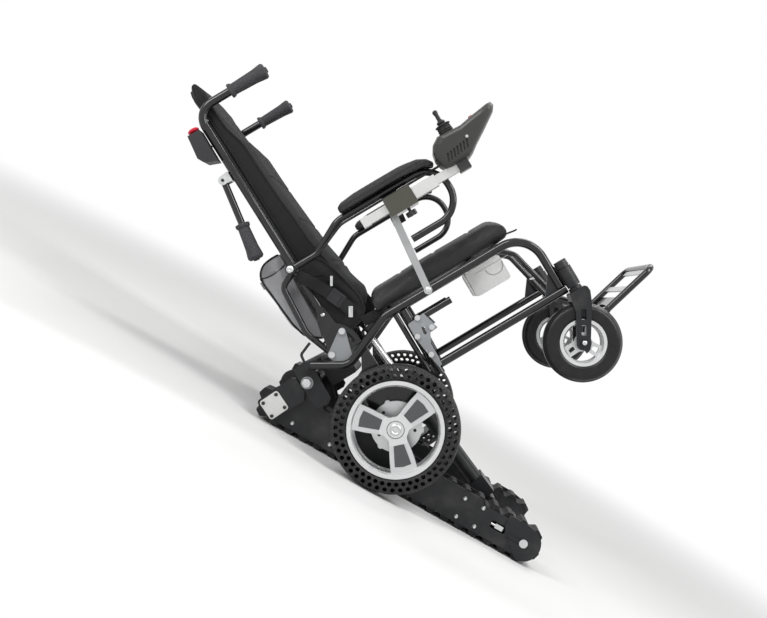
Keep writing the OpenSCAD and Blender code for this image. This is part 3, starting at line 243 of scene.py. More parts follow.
# black paint: colour, roughness, coat and depth of its orange peel
PAINT, PAINT_ROUGH, PAINT_COAT, PAINT_PEEL = (0.008, 0.008, 0.009), 0.13, 0.3, 0.000012
# where the clamp's olive finish ends, along and across the arm
CLAMP_EDGE_X, CLAMP_EDGE_Z = (0.0372, 0.0376), (0.0254, 0.0258)
TREAD_START = (0.146, 0.152)  # radii between which a driving tyre's side becomes its tread
RIBS = 3100.0  # radians of the webbing's ribs in a metre


def shaded(colour, factor):
    return tuple(min(1.0, c * factor) for c in colour)


def painted(name, clamp=None):
    """Black stoved paint: orange peel and faint handling marks."""
    f = Finish(name, PAINT, coat_weight=PAINT_COAT, coat_roughness=0.03, ior=1.5,
               specular_ior_level=0.35)
    soft = f.grain(7, 4)
    marks = f.grain(60, 5, f.along(TIPPED, (1, 1, 0.12))).over(0.56, 0.74)
    tone = f.tint(soft, shaded(PAINT, 0.72), shaded(PAINT, 1.35))
    tone = f.tint(marks * 0.35, tone, shaded(PAINT, 3.2))
    if clamp:
        # the cast clamp on this tube has an olive finish
        local = f.along(TIPPED, centre=tuple(clamp))
        across, up = f.axis(local, "X"), f.axis(local, "Z")
        on_clamp = ((1 - abs(across).over(*CLAMP_EDGE_X))
                    * (1 - abs(up).over(*CLAMP_EDGE_Z)))
        olive = f.tint(soft, (0.035, 0.035, 0.027), (0.07, 0.07, 0.054))
        tone = f.tint(on_clamp, tone, olive)
    rough = f.between(soft * 0.5 + marks * 0.5, PAINT_ROUGH, PAINT_ROUGH + 0.1)
    return f.with_skin(tone, rough, f.grain(420, 2), PAINT_PEEL)


def powder(name, colour, rough, dust):
    """Powder coat on steel: fine pebbling and scuffs."""
    f = Finish(name, colour, ior=1.48, specular_ior_level=0.3)
    soft, fine = f.grain(5, 4), f.cells(900)
    scuff = f.grain(38, 8, rough=0.7).over(0.6, 0.72)
    settled = f.grain(14, 6).over(0.48, 0.78)
    tone = f.tint(soft, shaded(colour, 0.7), shaded(colour, 1.3))
    tone = f.tint(scuff * 0.5, tone, shaded(colour, 3.0))
    tone = f.tint(settled * dust, tone, (0.22, 0.215, 0.2))
    return f.with_skin(tone, f.between(soft, rough - 0.08, rough + 0.14),
                       fine * 0.7 + scuff * 0.3, 0.00016)


def bare_metal(name, colour, rough, brushed=None, cast=0.0, metallic=1.0):
    """Unpainted metal: brushed along turned and scaled axes, or with a cast skin."""
    f = Finish(name, colour, metallic=metallic)
    lines = f.grain(30, 6, f.along(*brushed)) if brushed else f.grain(90, 5)
    soft = f.grain(9, 4)
    tone = f.tint(soft * 0.5 + lines * 0.5, shaded(colour, 0.74), shaded(colour, 1.16))
    return f.with_skin(tone, f.between(lines * 0.6 + soft * 0.4, rough - 0.09, rough + 0.14),
                       f.cells(520) if cast else lines, cast or 0.00002)


def rail_metal(name):
    """Drawn pale rail whose front mount block is black plastic."""
    f = Finish(name, (0.6, 0.6, 0.59), metallic=0.0)
    local = f.along(TIPPED, centre=tuple(chair(*RAIL_BLOCK)))
    block = f.axis(local, "X").over(0.0, 0.0004)
    drawn = f.grain(40, 5, f.along(TIPPED, (0.08, 1, 1)))
    tone = f.tint(drawn, (0.52, 0.52, 0.51), (0.66, 0.66, 0.65))
    f.use("Metallic", (1 - block) * 0.55)
    return f.with_skin(f.tint(block, tone, (0.02, 0.02, 0.021)), f.between(drawn, 0.3, 0.48),
                       drawn, 0.00006)


def wheel_metal(name, centre, ring, bore):
    """Cast wheel: machined outside ring and inside bore, grained spokes, and painted shade that
    darkens it towards its middle plane, on the floors of its recesses.
    """
    f = Finish(name, (0.62, 0.625, 0.63), metallic=0.9)
    local = f.along(TIPPED, centre=centre)
    x, y, z = (f.axis(local, n) for n in "XYZ")
    radius = (x * x + z * z) ** 0.5
    turned_lines = f.grain(1.0, 2, f.node("CombineXYZ", {}, {"X": radius * 2600.0}))
    machined = radius.over(ring - 0.001, ring) + (1 - radius.over(bore, bore + 0.001))
    fine, soft = f.grain(700, 3), f.grain(14, 5)
    # mask for painted shade: 0 at the wheel's middle plane, 1 from 14 mm out, so the recess
    # floors come out darker
    low = abs(y).over(0.0, 0.014)
    tone = f.tint(soft, (0.50, 0.505, 0.51), (0.66, 0.665, 0.67))
    tone = f.tint(machined * 0.45, tone, (0.76, 0.76, 0.765))
    # painted shade on the recess floors, near the middle plane
    tone = f.tint((1 - low) * 0.6, tone, (0.2, 0.2, 0.205))
    return f.with_skin(tone, f.between(soft, 0.3, 0.46) - machined * 0.1,
                       fine * (1 - machined * 0.8) + turned_lines * machined * 0.5, 0.00004)


def rubber(name, colour, rough, centre, dust, texture=0.0003):
    """Moulded rubber: fine pitting and dust. With a centre, ribs on a tyre's side and
    fine cuts across its tread."""
    f = Finish(name, colour, ior=1.46, specular_ior_level=0.28)
    soft, pits = f.grain(16, 5), f.cells(650)
    tone = f.tint(soft, shaded(colour, 0.75), shaded(colour, 1.5))
    settled = f.grain(48, 7, rough=0.65).over(0.47, 0.75)
    tone = f.tint(settled * dust, tone, (0.17, 0.165, 0.155))
    relief = pits * 0.6 + soft * 0.4
    if centre:
        local = f.along(TIPPED, centre=centre)
        x, z = f.axis(local, "X"), f.axis(local, "Z")
        radius = (x * x + z * z) ** 0.5
        angle = f.node("Math", {"operation": "ARCTAN2"}, {0: z, 1: x})
        ribs = (radius * 2100.0).sine() * 0.5 + 0.5
        tread = radius.over(*TREAD_START)
        sipes = (angle * 96.0 + (f.axis(local, "Y") * 190.0).sine() * 2.2).sine().over(0.2, 0.5)
        relief = relief * 0.5 + ribs * 0.35 * (1 - tread) + sipes * tread * 2.4
        tone = f.tint(tread * sipes * 0.5, tone, (0.06, 0.058, 0.054))
    return f.with_skin(tone, f.between(soft, rough - 0.08, rough + 0.12), relief, texture)


def speckled_grip(name):
    """Soft grip rubber with raised dots, paler on top where hands rub it."""
    f = Finish(name, (0.035, 0.035, 0.038), ior=1.45, specular_ior_level=0.25)
    dots = 1 - f.cells(260).over(0.22, 0.4)
    mottle = f.grain(420, 4).over(0.5, 0.62)
    tone = f.tint(f.grain(22), (0.026, 0.026, 0.029), (0.05, 0.05, 0.054))
    tone = f.tint(dots * 0.55 + mottle * 0.35, tone, (0.11, 0.11, 0.115))
    return f.with_skin(tone, f.between(dots, 0.66, 0.5), dots + mottle * 0.3, 0.0007)


def moulded(name, colour, rough, spark=0.00022, dust=0.0):
    """Plastic from a spark textured mould, dusty on request."""
    f = Finish(name, colour, ior=1.5, specular_ior_level=0.35)
    soft, fine = f.grain(8, 4), f.grain(760, 4)
    tone = f.tint(soft, shaded(colour, 0.82), shaded(colour, 1.22))
    if dust:
        tone = f.tint(f.grain(22, 6).over(0.5, 0.8) * dust, tone, (0.3, 0.29, 0.27))
    return f.with_skin(tone, f.between(fine * 0.5 + soft * 0.5, rough - 0.08, rough + 0.12),
                       fine, spark)


def vinyl(name, colour):
    """Upholstery vinyl: pebbled grain in two sizes, sat-on sheen."""
    f = Finish(name, colour, ior=1.5, specular_ior_level=0.32)
    pebbles = f.cells(420, "DISTANCE_TO_EDGE").over(0.0, 0.16)
    fine, soft = f.cells(1100), f.grain(11, 5)
    tone = f.tint(soft, shaded(colour, 0.8), shaded(colour, 1.5))
    tone = f.tint((1 - pebbles) * 0.5, tone, shaded(colour, 0.5))
    return f.with_skin(tone, f.between(soft * 0.7 + (1 - pebbles) * 0.3, 0.36, 0.56),
                       pebbles * 0.8 + fine * 0.2, 0.00035)


def woven(name, low, high, pitch):
    """Plain woven cloth on the chair's axes, with slubs and faded patches."""
    f = Finish(name, high, sheen_weight=0.06, sheen_roughness=0.4, ior=1.4,
               specular_ior_level=0.2)
    local = f.along(TIPPED)
    wobble = f.grain(55, 2) * 1.3
    x, y, z = (f.axis(local, n) * (math.tau / pitch) for n in "XYZ")
    across = (y + x + wobble).sine() * 0.5 + 0.5
    up = (z + x * 0.6 + wobble).sine() * 0.5 + 0.5
    weave = across * up + (1 - across) * (1 - up)
    slub = f.grain(170, 4, f.along(TIPPED, (1, 1, 0.1)))
    patch = f.grain(6, 5)
    tone = f.tint(weave * 0.55 + slub * 0.45, low, high)
    return f.with_skin(f.tint(patch * 0.35, tone, shaded(high, 1.25)),
                       f.between(weave, 0.93, 0.79), weave * 0.8 + slub * 0.4, 0.0004)


def webbing(name, colour):
    """Belt webbing: ribs across, herringbone along."""
    f = Finish(name, colour, sheen_weight=0.06, ior=1.45, specular_ior_level=0.25)
    local = f.along(TIPPED)
    x, z = f.axis(local, "X") * RIBS, f.axis(local, "Z") * RIBS
    ribs = (x + z).sine() * 0.5 + 0.5
    cross = (x - z).sine() * 0.5 + 0.5
    tone = f.tint(ribs * 0.6 + cross * 0.4, shaded(colour, 0.6), shaded(colour, 1.6))
    return f.with_skin(tone, f.between(ribs, 0.75, 0.6), ribs * cross + f.grain(600) * 0.2,
                       0.0004)


def floor_finish():
    """Pale matt floor that fades to white away from the object."""
    f = Finish("pale_floor", (0.8, 0.8, 0.795), roughness=0.75)
    far = f.node("VectorMath", {"operation": "LENGTH"}, {0: f.place}, "Value").over(1.2, 3.6)
    f.use("Base Color", f.tint(f.grain(3, 5), (0.79, 0.79, 0.785), (0.815, 0.815, 0.81)))
    seen = f.seen_directly().over(0.0, 1.0)
    glow = f.node("Emission", {}, {0: WHITE, 1: 1.0})
    mix = f.node("MixShader", {}, {0: far * seen, 1: Value(f, f.shader.outputs[0]), 2: glow})
    f.tree.links.new(mix.socket, f.output.inputs[0])
    return f.material


def set_world(level):
    """Soft light all round; white for the camera, reflections and see-through."""
    SCENE.world = bpy.data.worlds.new("studio")
    sky = Nodes(SCENE.world)
    seen = sky.seen_directly()
    seen.socket.node.use_clamp = True
    soft, white = (sky.node("Background", {}, {0: WHITE, 1: power}) for power in (level, 1.0))
    mix = sky.node("MixShader", {}, {0: seen, 1: soft, 2: white})
    sky.node("OutputWorld", {}, {0: mix})


def make_finishes():
    """Every finish by its slot, or by the node where one node differs."""
    axle = {s: tuple(chair(0, y * WHEEL_Y, AXLE_Z)) for s, y in SIDES}
    small = {s: tuple(chair(CASTER_X, y * CASTER_Y, CASTER_Z)) for s, y in SIDES}
    made = {
        "black_paint": painted("gloss_black_tube"),
        "dark_paint": powder("satin_black_plate", (0.015, 0.0155, 0.017), 0.34, 0.14),
        "black_steel": powder("black_steel", (0.014, 0.0145, 0.016), 0.4, 0.08),
        "grey_plate": powder("grey_plate", (0.25, 0.26, 0.27), 0.4, 0.1),
        "cast_silver": bare_metal("cast_silver", (0.58, 0.585, 0.59), 0.34, None, 0.00009),
        "bare_aluminium": bare_metal("brushed_cover", (0.66, 0.66, 0.645), 0.4,
                                     ((0, math.radians(30), 0), (1, 1, 14)), 0, 0.85),
        "zinc": bare_metal("zinc_plate", (0.62, 0.625, 0.63), 0.3, None, 0.00007),
        "chromed_rod": bare_metal("chromed_rod", (0.72, 0.72, 0.73), 0.16),
        "track_rubber": rubber("track_rubber", (0.013, 0.013, 0.0135), 0.6, None, 0.3),
        "grip_rubber": speckled_grip("speckled_grip"),
        "slide_plastic": moulded("slide_rail", (0.045, 0.045, 0.05), 0.45, dust=0.2),
        "black_plastic": moulded("black_plastic", (0.017, 0.017, 0.019), 0.42),
        "case_plastic": moulded("case_plastic", (0.034, 0.034, 0.032), 0.32, 0.00004),
        "pale_case": moulded("pale_case", (0.84, 0.84, 0.83), 0.4, 0.0002, 0.2),
        "pale_trim": moulded("pale_trim", (0.5, 0.5, 0.49), 0.45, 0.0001),
        "pale_rail": rail_metal("pale_rail"),
        "red_plastic": moulded("red_plastic", (0.5, 0.012, 0.03), 0.24, 0.00004),
        "seat_vinyl": vinyl("seat_vinyl", (0.014, 0.014, 0.015)),
        "back_cloth": woven("back_cloth", (0.009, 0.009, 0.0095), (0.026, 0.026, 0.027), 0.0016),
        "bag_cloth": woven("bag_cloth", (0.21, 0.21, 0.22), (0.36, 0.36, 0.37), 0.0014),
        "belt_webbing": webbing("belt_webbing", (0.012, 0.012, 0.013)),
        "piping": woven("black_piping", (0.008, 0.008, 0.009), (0.03, 0.03, 0.032), 0.0011),
        # dark plates and rings that stand for shade in the wheels' spoke windows and hub
        # grooves: painted shade
        "spoke_shade_plate": moulded("spoke_shade_plate", (0.075, 0.077, 0.08), 0.5, 0.0004),
        "arm_tube_right": painted("gloss_tube_and_clamp", chair(*ARM_CLAMP)),
    }
    for s, _ in SIDES:
        made["arm_post_" + s] = bare_metal("drawn_post_" + s, (0.45, 0.455, 0.46), 0.36,
                                           (TIPPED, (1, 1, 0.06)), 0, 0.9)
        made["rear_tyre_" + s] = rubber("rear_tyre_" + s, (0.016, 0.016, 0.017), 0.55,
                                        axle[s], 0.16, 0.0005)
        made["caster_tyre_" + s] = rubber("caster_tyre_" + s, (0.011, 0.011, 0.012), 0.3,
                                          None, 0.05, 0.0002)
        made["rear_rim_" + s] = wheel_metal("rear_rim_" + s, axle[s], 0.104, 0.040)
        made["caster_rim_" + s] = wheel_metal("caster_rim_" + s, small[s], 0.050, 0.016)
    return made


def dress(piece, finish, slot=None):
    """Gives a piece its finish. Its slot argument is not used."""
    piece.data.materials.clear()
    piece.data.materials.append(FINISHES[finish])
    slot or finish


def finish_nodes():
    """Better materials in the slots of the CAD pieces."""
    slots = {p["node"]: p["material_slot"] for p in frame["record"]["subparts"]}
    for name, node in CAD.items():
        finish = FINISHES.get(name) or FINISHES[slots[name]]
        for place in node.material_slots:
            place.material = finish


# ---------------- modelling by hand


def only(piece):
    if bpy.context.mode != "OBJECT":
        bpy.ops.object.mode_set(mode="OBJECT")
    bpy.ops.object.select_all(action="DESELECT")
    piece.select_set(True)
    bpy.context.view_layer.objects.active = piece


def edit(piece):
    only(piece)
    bpy.ops.object.mode_set(mode="EDIT")
    bpy.ops.mesh.select_mode(type="FACE")
    bpy.ops.mesh.select_all(action="SELECT")


def leave():
    bpy.ops.object.mode_set(mode="OBJECT")


def inset_faces(piece, test, thickness, depth):
    """Insets the faces whose normal passes the test and moves them by depth."""
    edit(piece)
    bpy.ops.mesh.select_all(action="DESELECT")
    leave()
    for face in piece.data.polygons:
        face.select = bool(test(face.normal))
    bpy.ops.object.mode_set(mode="EDIT")
    bpy.ops.mesh.inset(thickness=thickness, depth=depth)
    leave()


def settle(piece, name, place=None):
    """Names a finished piece and writes its place into its mesh."""
    only(piece)
    if place is not None:
        piece.matrix_world = place @ piece.matrix_world
    bpy.ops.object.transform_apply(location=True, rotation=True, scale=True)
    piece.name = piece.data.name = name
    return piece


def apply(piece, kind, **settings):
    only(piece)
    modifier = piece.modifiers.new(kind.lower(), kind)
    for key, value in settings.items():
        setattr(modifier, key, value)
    bpy.ops.object.modifier_apply(modifier=modifier.name)


def smooth(piece, degrees=35):
    only(piece)
    bpy.ops.object.shade_smooth_by_angle(angle=math.radians(degrees))


def finished(piece, name, place, finish, slot=None):
    """Names, places, smooths and dresses a small part."""
    settle(piece, name, place)
    smooth(piece)
    dress(piece, finish, slot)


def outward(piece):
    edit(piece)
    bpy.ops.mesh.remove_doubles(threshold=1e-6)
    bpy.ops.mesh.normals_make_consistent(inside=False)
    leave()


def linked(name, data):
    piece = bpy.data.objects.new(name, data)
    SCENE.collection.objects.link(piece)
    return piece


NEEDLE = 0.2  # radius at which a turned profile starts, in place of a pole


def lathe(name, profile, steps):
    """A profile of radius and height, in mm, turned about Z."""
    mesh = bpy.data.meshes.new(name)
    mesh.from_pydata([(r / 1000, 0, h / 1000) for r, h in profile],
                     [(i, i + 1) for i in range(len(profile) - 1)], [])
    piece = linked(name, mesh)
    only(piece)
    bpy.ops.object.mode_set(mode="EDIT")
    bpy.ops.mesh.select_all(action="SELECT")
    bpy.ops.mesh.spin(steps=steps, angle=math.tau, center=(0, 0, 0), axis=(0, 0, 1))
    leave()
    outward(piece)
    return piece


def block(name, size, round_off, segments=2):
    """A block with rounded edges about the origin, to be shaped further."""
    bpy.ops.mesh.primitive_cube_add(size=1)
    piece = bpy.context.object
    piece.name = name
    piece.scale = size
    only(piece)
    bpy.ops.object.transform_apply(location=False, rotation=False, scale=True)
    edit(piece)
    bpy.ops.mesh.bevel(offset=round_off, segments=segments, affect="EDGES")
    leave()
    return piece


def tube(name, points, radius, closed=False):
    """A round cord laid through the points, as a mesh."""
    line = bpy.data.curves.new(name, "CURVE")
    line.dimensions = "3D"
    line.bevel_depth, line.bevel_resolution, line.use_fill_caps = radius, 3, not closed
    spline = line.splines.new("POLY")
    spline.points.add(len(points) - 1)
    for spot, point in zip(spline.points, points):
        spot.co = (*point, 1)
    spline.use_cyclic_u = closed
    piece = linked(name, line)
    only(piece)
    bpy.ops.object.convert(target="MESH")
    piece = bpy.context.object
    outward(piece)
    smooth(piece, 60)
    return settle(piece, name)


def ribbon(name, stations, width, thick, across):
    """A flat strap through stations; across gives its width direction at each."""
    count = len(stations)
    bpy.ops.mesh.primitive_grid_add(x_subdivisions=count - 1, y_subdivisions=4, size=1)
    piece = bpy.context.object
    for v in piece.data.vertices:
        i = min(count - 1, max(0, round((v.co.x + 0.5) * (count - 1))))
        v.co = stations[i] + across[i] * (v.co.y * width)
    apply(piece, "SOLIDIFY", thickness=thick, offset=0)
    apply(piece, "BEVEL", width=thick * 0.3, segments=2, limit_method="ANGLE")
    smooth(piece, 50)
    return settle(piece, name)


# ---------------- soft goods

STITCH = 0.006  # distance of the points that a sewn line is laid through
SIM_STEPS = 20


def cloth_panel(columns, rows, form, thick):
    """A cloth sheet from a grid; form turns a grid point, -0.5 to 0.5, into a place."""
    bpy.ops.mesh.primitive_grid_add(x_subdivisions=columns, y_subdivisions=rows, size=1)
    piece = bpy.context.object
    for v in piece.data.vertices:
        v.co = form(v.co.x, v.co.y)
    apply(piece, "SOLIDIFY", thickness=thick, offset=0)
    outward(piece)
    return piece


def stuffed(node, name, voxel, cap, pressure, start, keep, rounds=3, form=None):
    """A padded cover over a CAD cushion, filled by a cloth simulation. It is taken in
    by start, form places its unfilled points, and keep limits their moves, as cap does."""
    piece = linked(name, CAD[node].data.copy())
    piece.data.materials.clear()
    outward(piece)
    piece.data.remesh_voxel_size = voxel
    bpy.ops.object.voxel_remesh()
    if start:
        apply(piece, "DISPLACE", strength=-start, mid_level=0)
    if form:
        for v in piece.data.vertices:
            v.co = form(v.co)
    rest = [v.co.copy() for v in piece.data.vertices]
    only(piece)
    cloth = piece.modifiers.new("filling", "CLOTH")
    fill = cloth.settings
    fill.use_pressure, fill.uniform_pressure_force, fill.quality = True, pressure, 4
    fill.effector_weights.gravity = 0
    for step in range(1, SIM_STEPS + 1):
        SCENE.frame_set(step)
    bpy.ops.object.modifier_apply(modifier=cloth.name)
    SCENE.frame_set(1)
    for v, first in zip(piece.data.vertices, rest):
        move = v.co - first
        if move.length > cap:
            move = move.normalized() * cap
        v.co = first + keep(first, move)
    apply(piece, "SMOOTH", factor=0.5, iterations=rounds)
    apply(piece, "SUBSURF", levels=1, render_levels=1)
    only(piece)
    bpy.ops.object.shade_smooth()
    return piece


def press_in(piece, distance, width, depth, where):
    """Sews a channel: points near the seam sink along their normals, where they may."""
    normals = [v.normal.copy() for v in piece.data.vertices]
    for v, n in zip(piece.data.vertices, normals):
        spot = upright(v.co)
        if not where(spot, n):
            continue
        d = abs(distance(spot))
        if d < width:
            v.co -= n * depth * (1 - (d / width) ** 2) ** 2
    piece.data.update()


def ruffle(piece, size, depth, weight):
    """Slack in the cloth: shallow folds from smooth noise."""
    normals = [v.normal.copy() for v in piece.data.vertices]
    for v, n in zip(piece.data.vertices, normals):
        x, y, z = upright(v.co)
        fold = noise.noise(Vector((x / size, y / size, z / (size * 2.2))))
        v.co += n * fold * depth * weight((x, y, z))
    piece.data.update()


def on_surface(piece, points, lift):
    """The points moved onto the piece's surface, and lifted off it."""
    placed = []
    for point in points:
        found, near, normal, _ = piece.closest_point_on_mesh(point)
        placed.append(near + normal * lift if found else point)
    return placed


def even(points, step, closed=False):
    """The same line with points about a step apart."""
    line = points + points[:1] if closed else points
    out = []
    for a, b in zip(line, line[1:]):
        n = max(1, round((b - a).length / step))
        out += [a.lerp(b, i / n) for i in range(n)]
    return out if closed else out + [line[-1]]


def welt(name, piece, corners, radius, finish="piping"):
    """A sewn cord that follows a piece's surface near points of the upright chair."""
    line = on_surface(piece, even([chair(*c) for c in corners], STITCH), radius * 0.3)
    for _ in range(3):
        line = [line[0]] + [(a + b * 2 + c) / 4
                            for a, b, c in zip(line, line[1:], line[2:])] + [line[-1]]
    cord = tube(name, line, radius)
    dress(cord, finish, "back_cloth")
    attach(cord, "backrest")


SEAM_HALF = 8  # half the width of a sewn channel
SEAT_BASE = 428  # below this height the seat doesn't bulge down onto its tubes
SEAT_SEAMS = (200, 305, 410)  # X of its channels
SEAT_SEAM_Y, SEAT_SEAM_Z = 178, 452  # their ends, and the height above which they lie


def seat():
    """The seat's padded cover with sewn channels, and its webbing pull."""
    def keep(at, move):
        if upright(at)[2] < SEAT_BASE:
            return move - CHAIR_Z * min(0.0, move.dot(CHAIR_Z))
        return move

    piece = stuffed("seat_cushion", "seat_pad", 0.006, 0.016, 4, 0.003, keep, 14)
    ruffle(piece, 90, 0.0012, lambda s: 1 if s[2] > 440 and abs(s[1]) < 190 else 0.2)
    for x in SEAT_SEAMS:
        press_in(piece, lambda s, x=x: s[0] - x, SEAM_HALF, 0.0025,
                 lambda s, n: (s[2] > SEAT_SEAM_Z and n.dot(CHAIR_Z) > 0.5
                               and abs(s[1]) < SEAT_SEAM_Y))
    dress(piece, "seat_vinyl")
    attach(piece, "chair")
    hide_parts("seat_cushion")
    spots = [chair(x, -190, z) for x, z in ((470, 434), (481, 432.5), (492, 431), (502, 429),
                                            (509, 428), (514, 428))]
    pull = ribbon("seat_pull_tab", spots, 0.022, 0.0038, [SIDE] * len(spots))
    dress(pull, "belt_webbing")
    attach(pull, "chair")


def back_line(z):
    """X of the back cushion's rear at a height, along the leaning back tubes."""
    return -19 - 15 * (z - 494) / 607 + 7.3


# height and depth of the solid cushion, and of the sewn pad that is shown
BACK_SECTIONS = ((457, 52), (575, 91), (835, 84), (1015, 68), (1114, 50), (1156, 34))
PAD_SECTIONS = ((457, 54), (519, 84), (593, 87), (624, 82), (676, 73), (849, 63), (978, 60),
                (1004, 50), (1030, 41), (1067, 41), (1114, 47), (1156, 56))
CROWN_FOOT, CROWN_HEIGHT = 1010, 150  # the head of the pad
CROWN_LEAN, CROWN_RISE = 20, 24  # how far its top edge goes back and up
FILL_TOP, FILL_FADE = 1090, 80  # the stuffing thins out over this height and ends
BACK_SEAMS, BACK_SEAM_Y, PIPING_Y = (600, 735, 870), 158, 184


def depth_at(sections, z):
    """A depth read between the heights of a table."""
    for (z0, d0), (z1, d1) in zip(sections, sections[1:]):
        if z <= z1:
            return d0 + (d1 - d0) * max(0, (z - z0)) / (z1 - z0)
    return sections[-1][1]


def crown_at(z):
    """0 below the head of the pad, rising to 1 at its top edge."""
    return max(0.0, (z - CROWN_FOOT) / CROWN_HEIGHT)


def back_form(point):
    """The sewn cover: full at the loins, thin at the head, its top leaning back."""
    x, y, z = upright(point)
    rear, crown = back_line(z), crown_at(z)
    part = (x - rear) / depth_at(BACK_SECTIONS, z)
    return chair(rear + part * depth_at(PAD_SECTIONS, z) - CROWN_LEAN * crown ** 2, y,
                 z + CROWN_RISE * crown)


def over_the_top(side_line, top_line):
    """A seam up one side of the back, over its top and down the other."""
    return side_line + top_line + [(x, -y, z) for x, y, z in side_line[::-1]]


def back():
    """The back's padded cover with sewn channels and two lines of piping."""
    def keep(at, move):
        x, y, z = upright(at)
        if x < back_line(z) + 12:  # the rear stays flat against its board
            return move - CHAIR_X * min(0.0, move.dot(CHAIR_X))
        if abs(y) > 166:
            move.y *= 0.5
        return move * min(1.0, max(0.0, (FILL_TOP - z) / FILL_FADE))

    piece = stuffed("back_cushion", "back_pad", 0.0065, 0.006, 4, 0.002, keep, 3, back_form)
    ruffle(piece, 60, 0.003, lambda s: 0.9 if abs(s[1]) > 180 else 0.3)
    for z in BACK_SEAMS:
        press_in(piece, lambda s, z=z: s[2] - z, SEAM_HALF, 0.003,
                 lambda s, n: (s[0] > back_line(s[2]) + 30 and n.dot(CHAIR_X) > 0.4
                               and abs(s[1]) < BACK_SEAM_Y))
    dress(piece, "back_cloth")
    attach(piece, "backrest")
    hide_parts("back_cushion")
    heights = list(range(470, 1130, 20))
    rows = range(165, -166, -20)
    top_x = back_line(1160)
    edge = [back_line(z) - CROWN_LEAN * crown_at(z) ** 2 for z in heights]
    front = [(x + depth_at(PAD_SECTIONS, z) * 0.86, PIPING_Y, z) for x, z in zip(edge, heights)]
    rear = [(x + 6, PIPING_Y + 1, z) for x, z in zip(edge, heights)]
    welt("back_piping_front", piece,
         over_the_top(front, [(top_x + 12, y, 1190) for y in rows]), 0.0026)
    welt("back_piping_rear", piece,
         over_the_top(rear, [(top_x - 16, y, 1180) for y in rows]), 0.0024)


FLAP_FOOT, FLAP_LENGTH, FLAP_OUTER, FLAP_WIDTH = 640, 430, 193, 21


def back_flaps():
    """Cloth strips between the back's tubes and its pad."""
    for side, y in SIDES:
        def form(u, w):
            part, z = u + 0.5, FLAP_FOOT + FLAP_LENGTH * (w + 0.5)
            slack = noise.noise(Vector((z / 38, 2.7 * y, part))) * part * (1 - part) * 9
            x = back_line(z) + 1.4 + 10 * part ** 2 - slack * 0.4
            return chair(x, y * (FLAP_OUTER - FLAP_WIDTH * part + slack), z)

        piece = settle(cloth_panel(6, 60, form, 0.0018), "back_flap_" + side)
        smooth(piece, 60)
        dress(piece, "back_cloth")
        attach(piece, "backrest")


BAG_SIDE = ((-50, 431), (-92, 461), (-108, 507), (-121, 633), (-119, 661), (-108, 679),
            (-92, 691), (-58, 697), (-37, 697))  # X and Z of its side piping
BAG_FRONT = -58  # in front of this the bag doesn't swell forwards
BAG_SEAM_Z = 650


def bag():
    """The bag's cover with side piping, a flap's seams, its zip and the puller."""
    def keep(at, move):
        if upright(at)[0] > BAG_FRONT:
            move = move - CHAIR_X * max(0.0, move.dot(CHAIR_X))
        return move

    piece = stuffed("back_bag", "back_pouch", 0.005, 0.0045, 3, 0.002, keep)
    ruffle(piece, 55, 0.0035, lambda s: 1 if s[0] < -60 else 0.3)
    press_in(piece, lambda s: s[2] - BAG_SEAM_Z, 5, 0.0025, lambda s, n: s[0] < -70)
    dress(piece, "bag_cloth")
    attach(piece, "backrest")
    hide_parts("back_bag")
    for side, y in SIDES:
        welt("pouch_piping_" + side, piece, [(x, y * 175, z) for x, z in BAG_SIDE], 0.0027)
        flap = [(-119 + 78 * i / 9, y * 177, 655 - 8 * math.sin(math.pi * i / 9))
                for i in range(10)]
        welt("pouch_seam_" + side, piece, flap, 0.0015)
    across = [(-120, y, BAG_SEAM_Z + 2) for y in range(172, -173, -8)]
    welt("pouch_zip", piece, across, 0.0032, "black_plastic")
    puller = block("pouch_zip_puller", (0.004, 0.009, 0.022), 0.0014)
    inset_faces(puller, lambda n: n.x < -0.9, 0.0018, -0.0008)
    _, near, normal, _ = piece.closest_point_on_mesh(chair(-121, -150, 645))
    settle(puller, "pouch_zip_puller", turned(CHAIR_X, SIDE, CHAIR_Z,
                                              near + normal * 0.004 - CHAIR_Z * 0.006))
    dress(puller, "zinc")
    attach(puller, "backrest")


PAD_BASE, PAD_SEAM_Z = 684, 689  # an arm pad swells above its base only, and upwards


def arm_pads():
    """The arm pads' covers with a seam round each."""
    def keep(at, move):
        rise = max(0.0, move.dot(CHAIR_Z)) if upright(at)[2] > PAD_BASE else 0.0
        return CHAIR_Z * rise

    for side, _ in SIDES:
        name = "arm_pad_" + side
        piece = stuffed(name, "arm_cushion_" + side, 0.004, 0.005, 4, 0.0, keep)
        press_in(piece, lambda s: s[2] - PAD_SEAM_Z, 3.5, 0.0008,
                 lambda s, n: abs(n.dot(CHAIR_Z)) < 0.7)
        dress(piece, "seat_vinyl")
        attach(piece, "armrest_" + side)
        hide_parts(name)


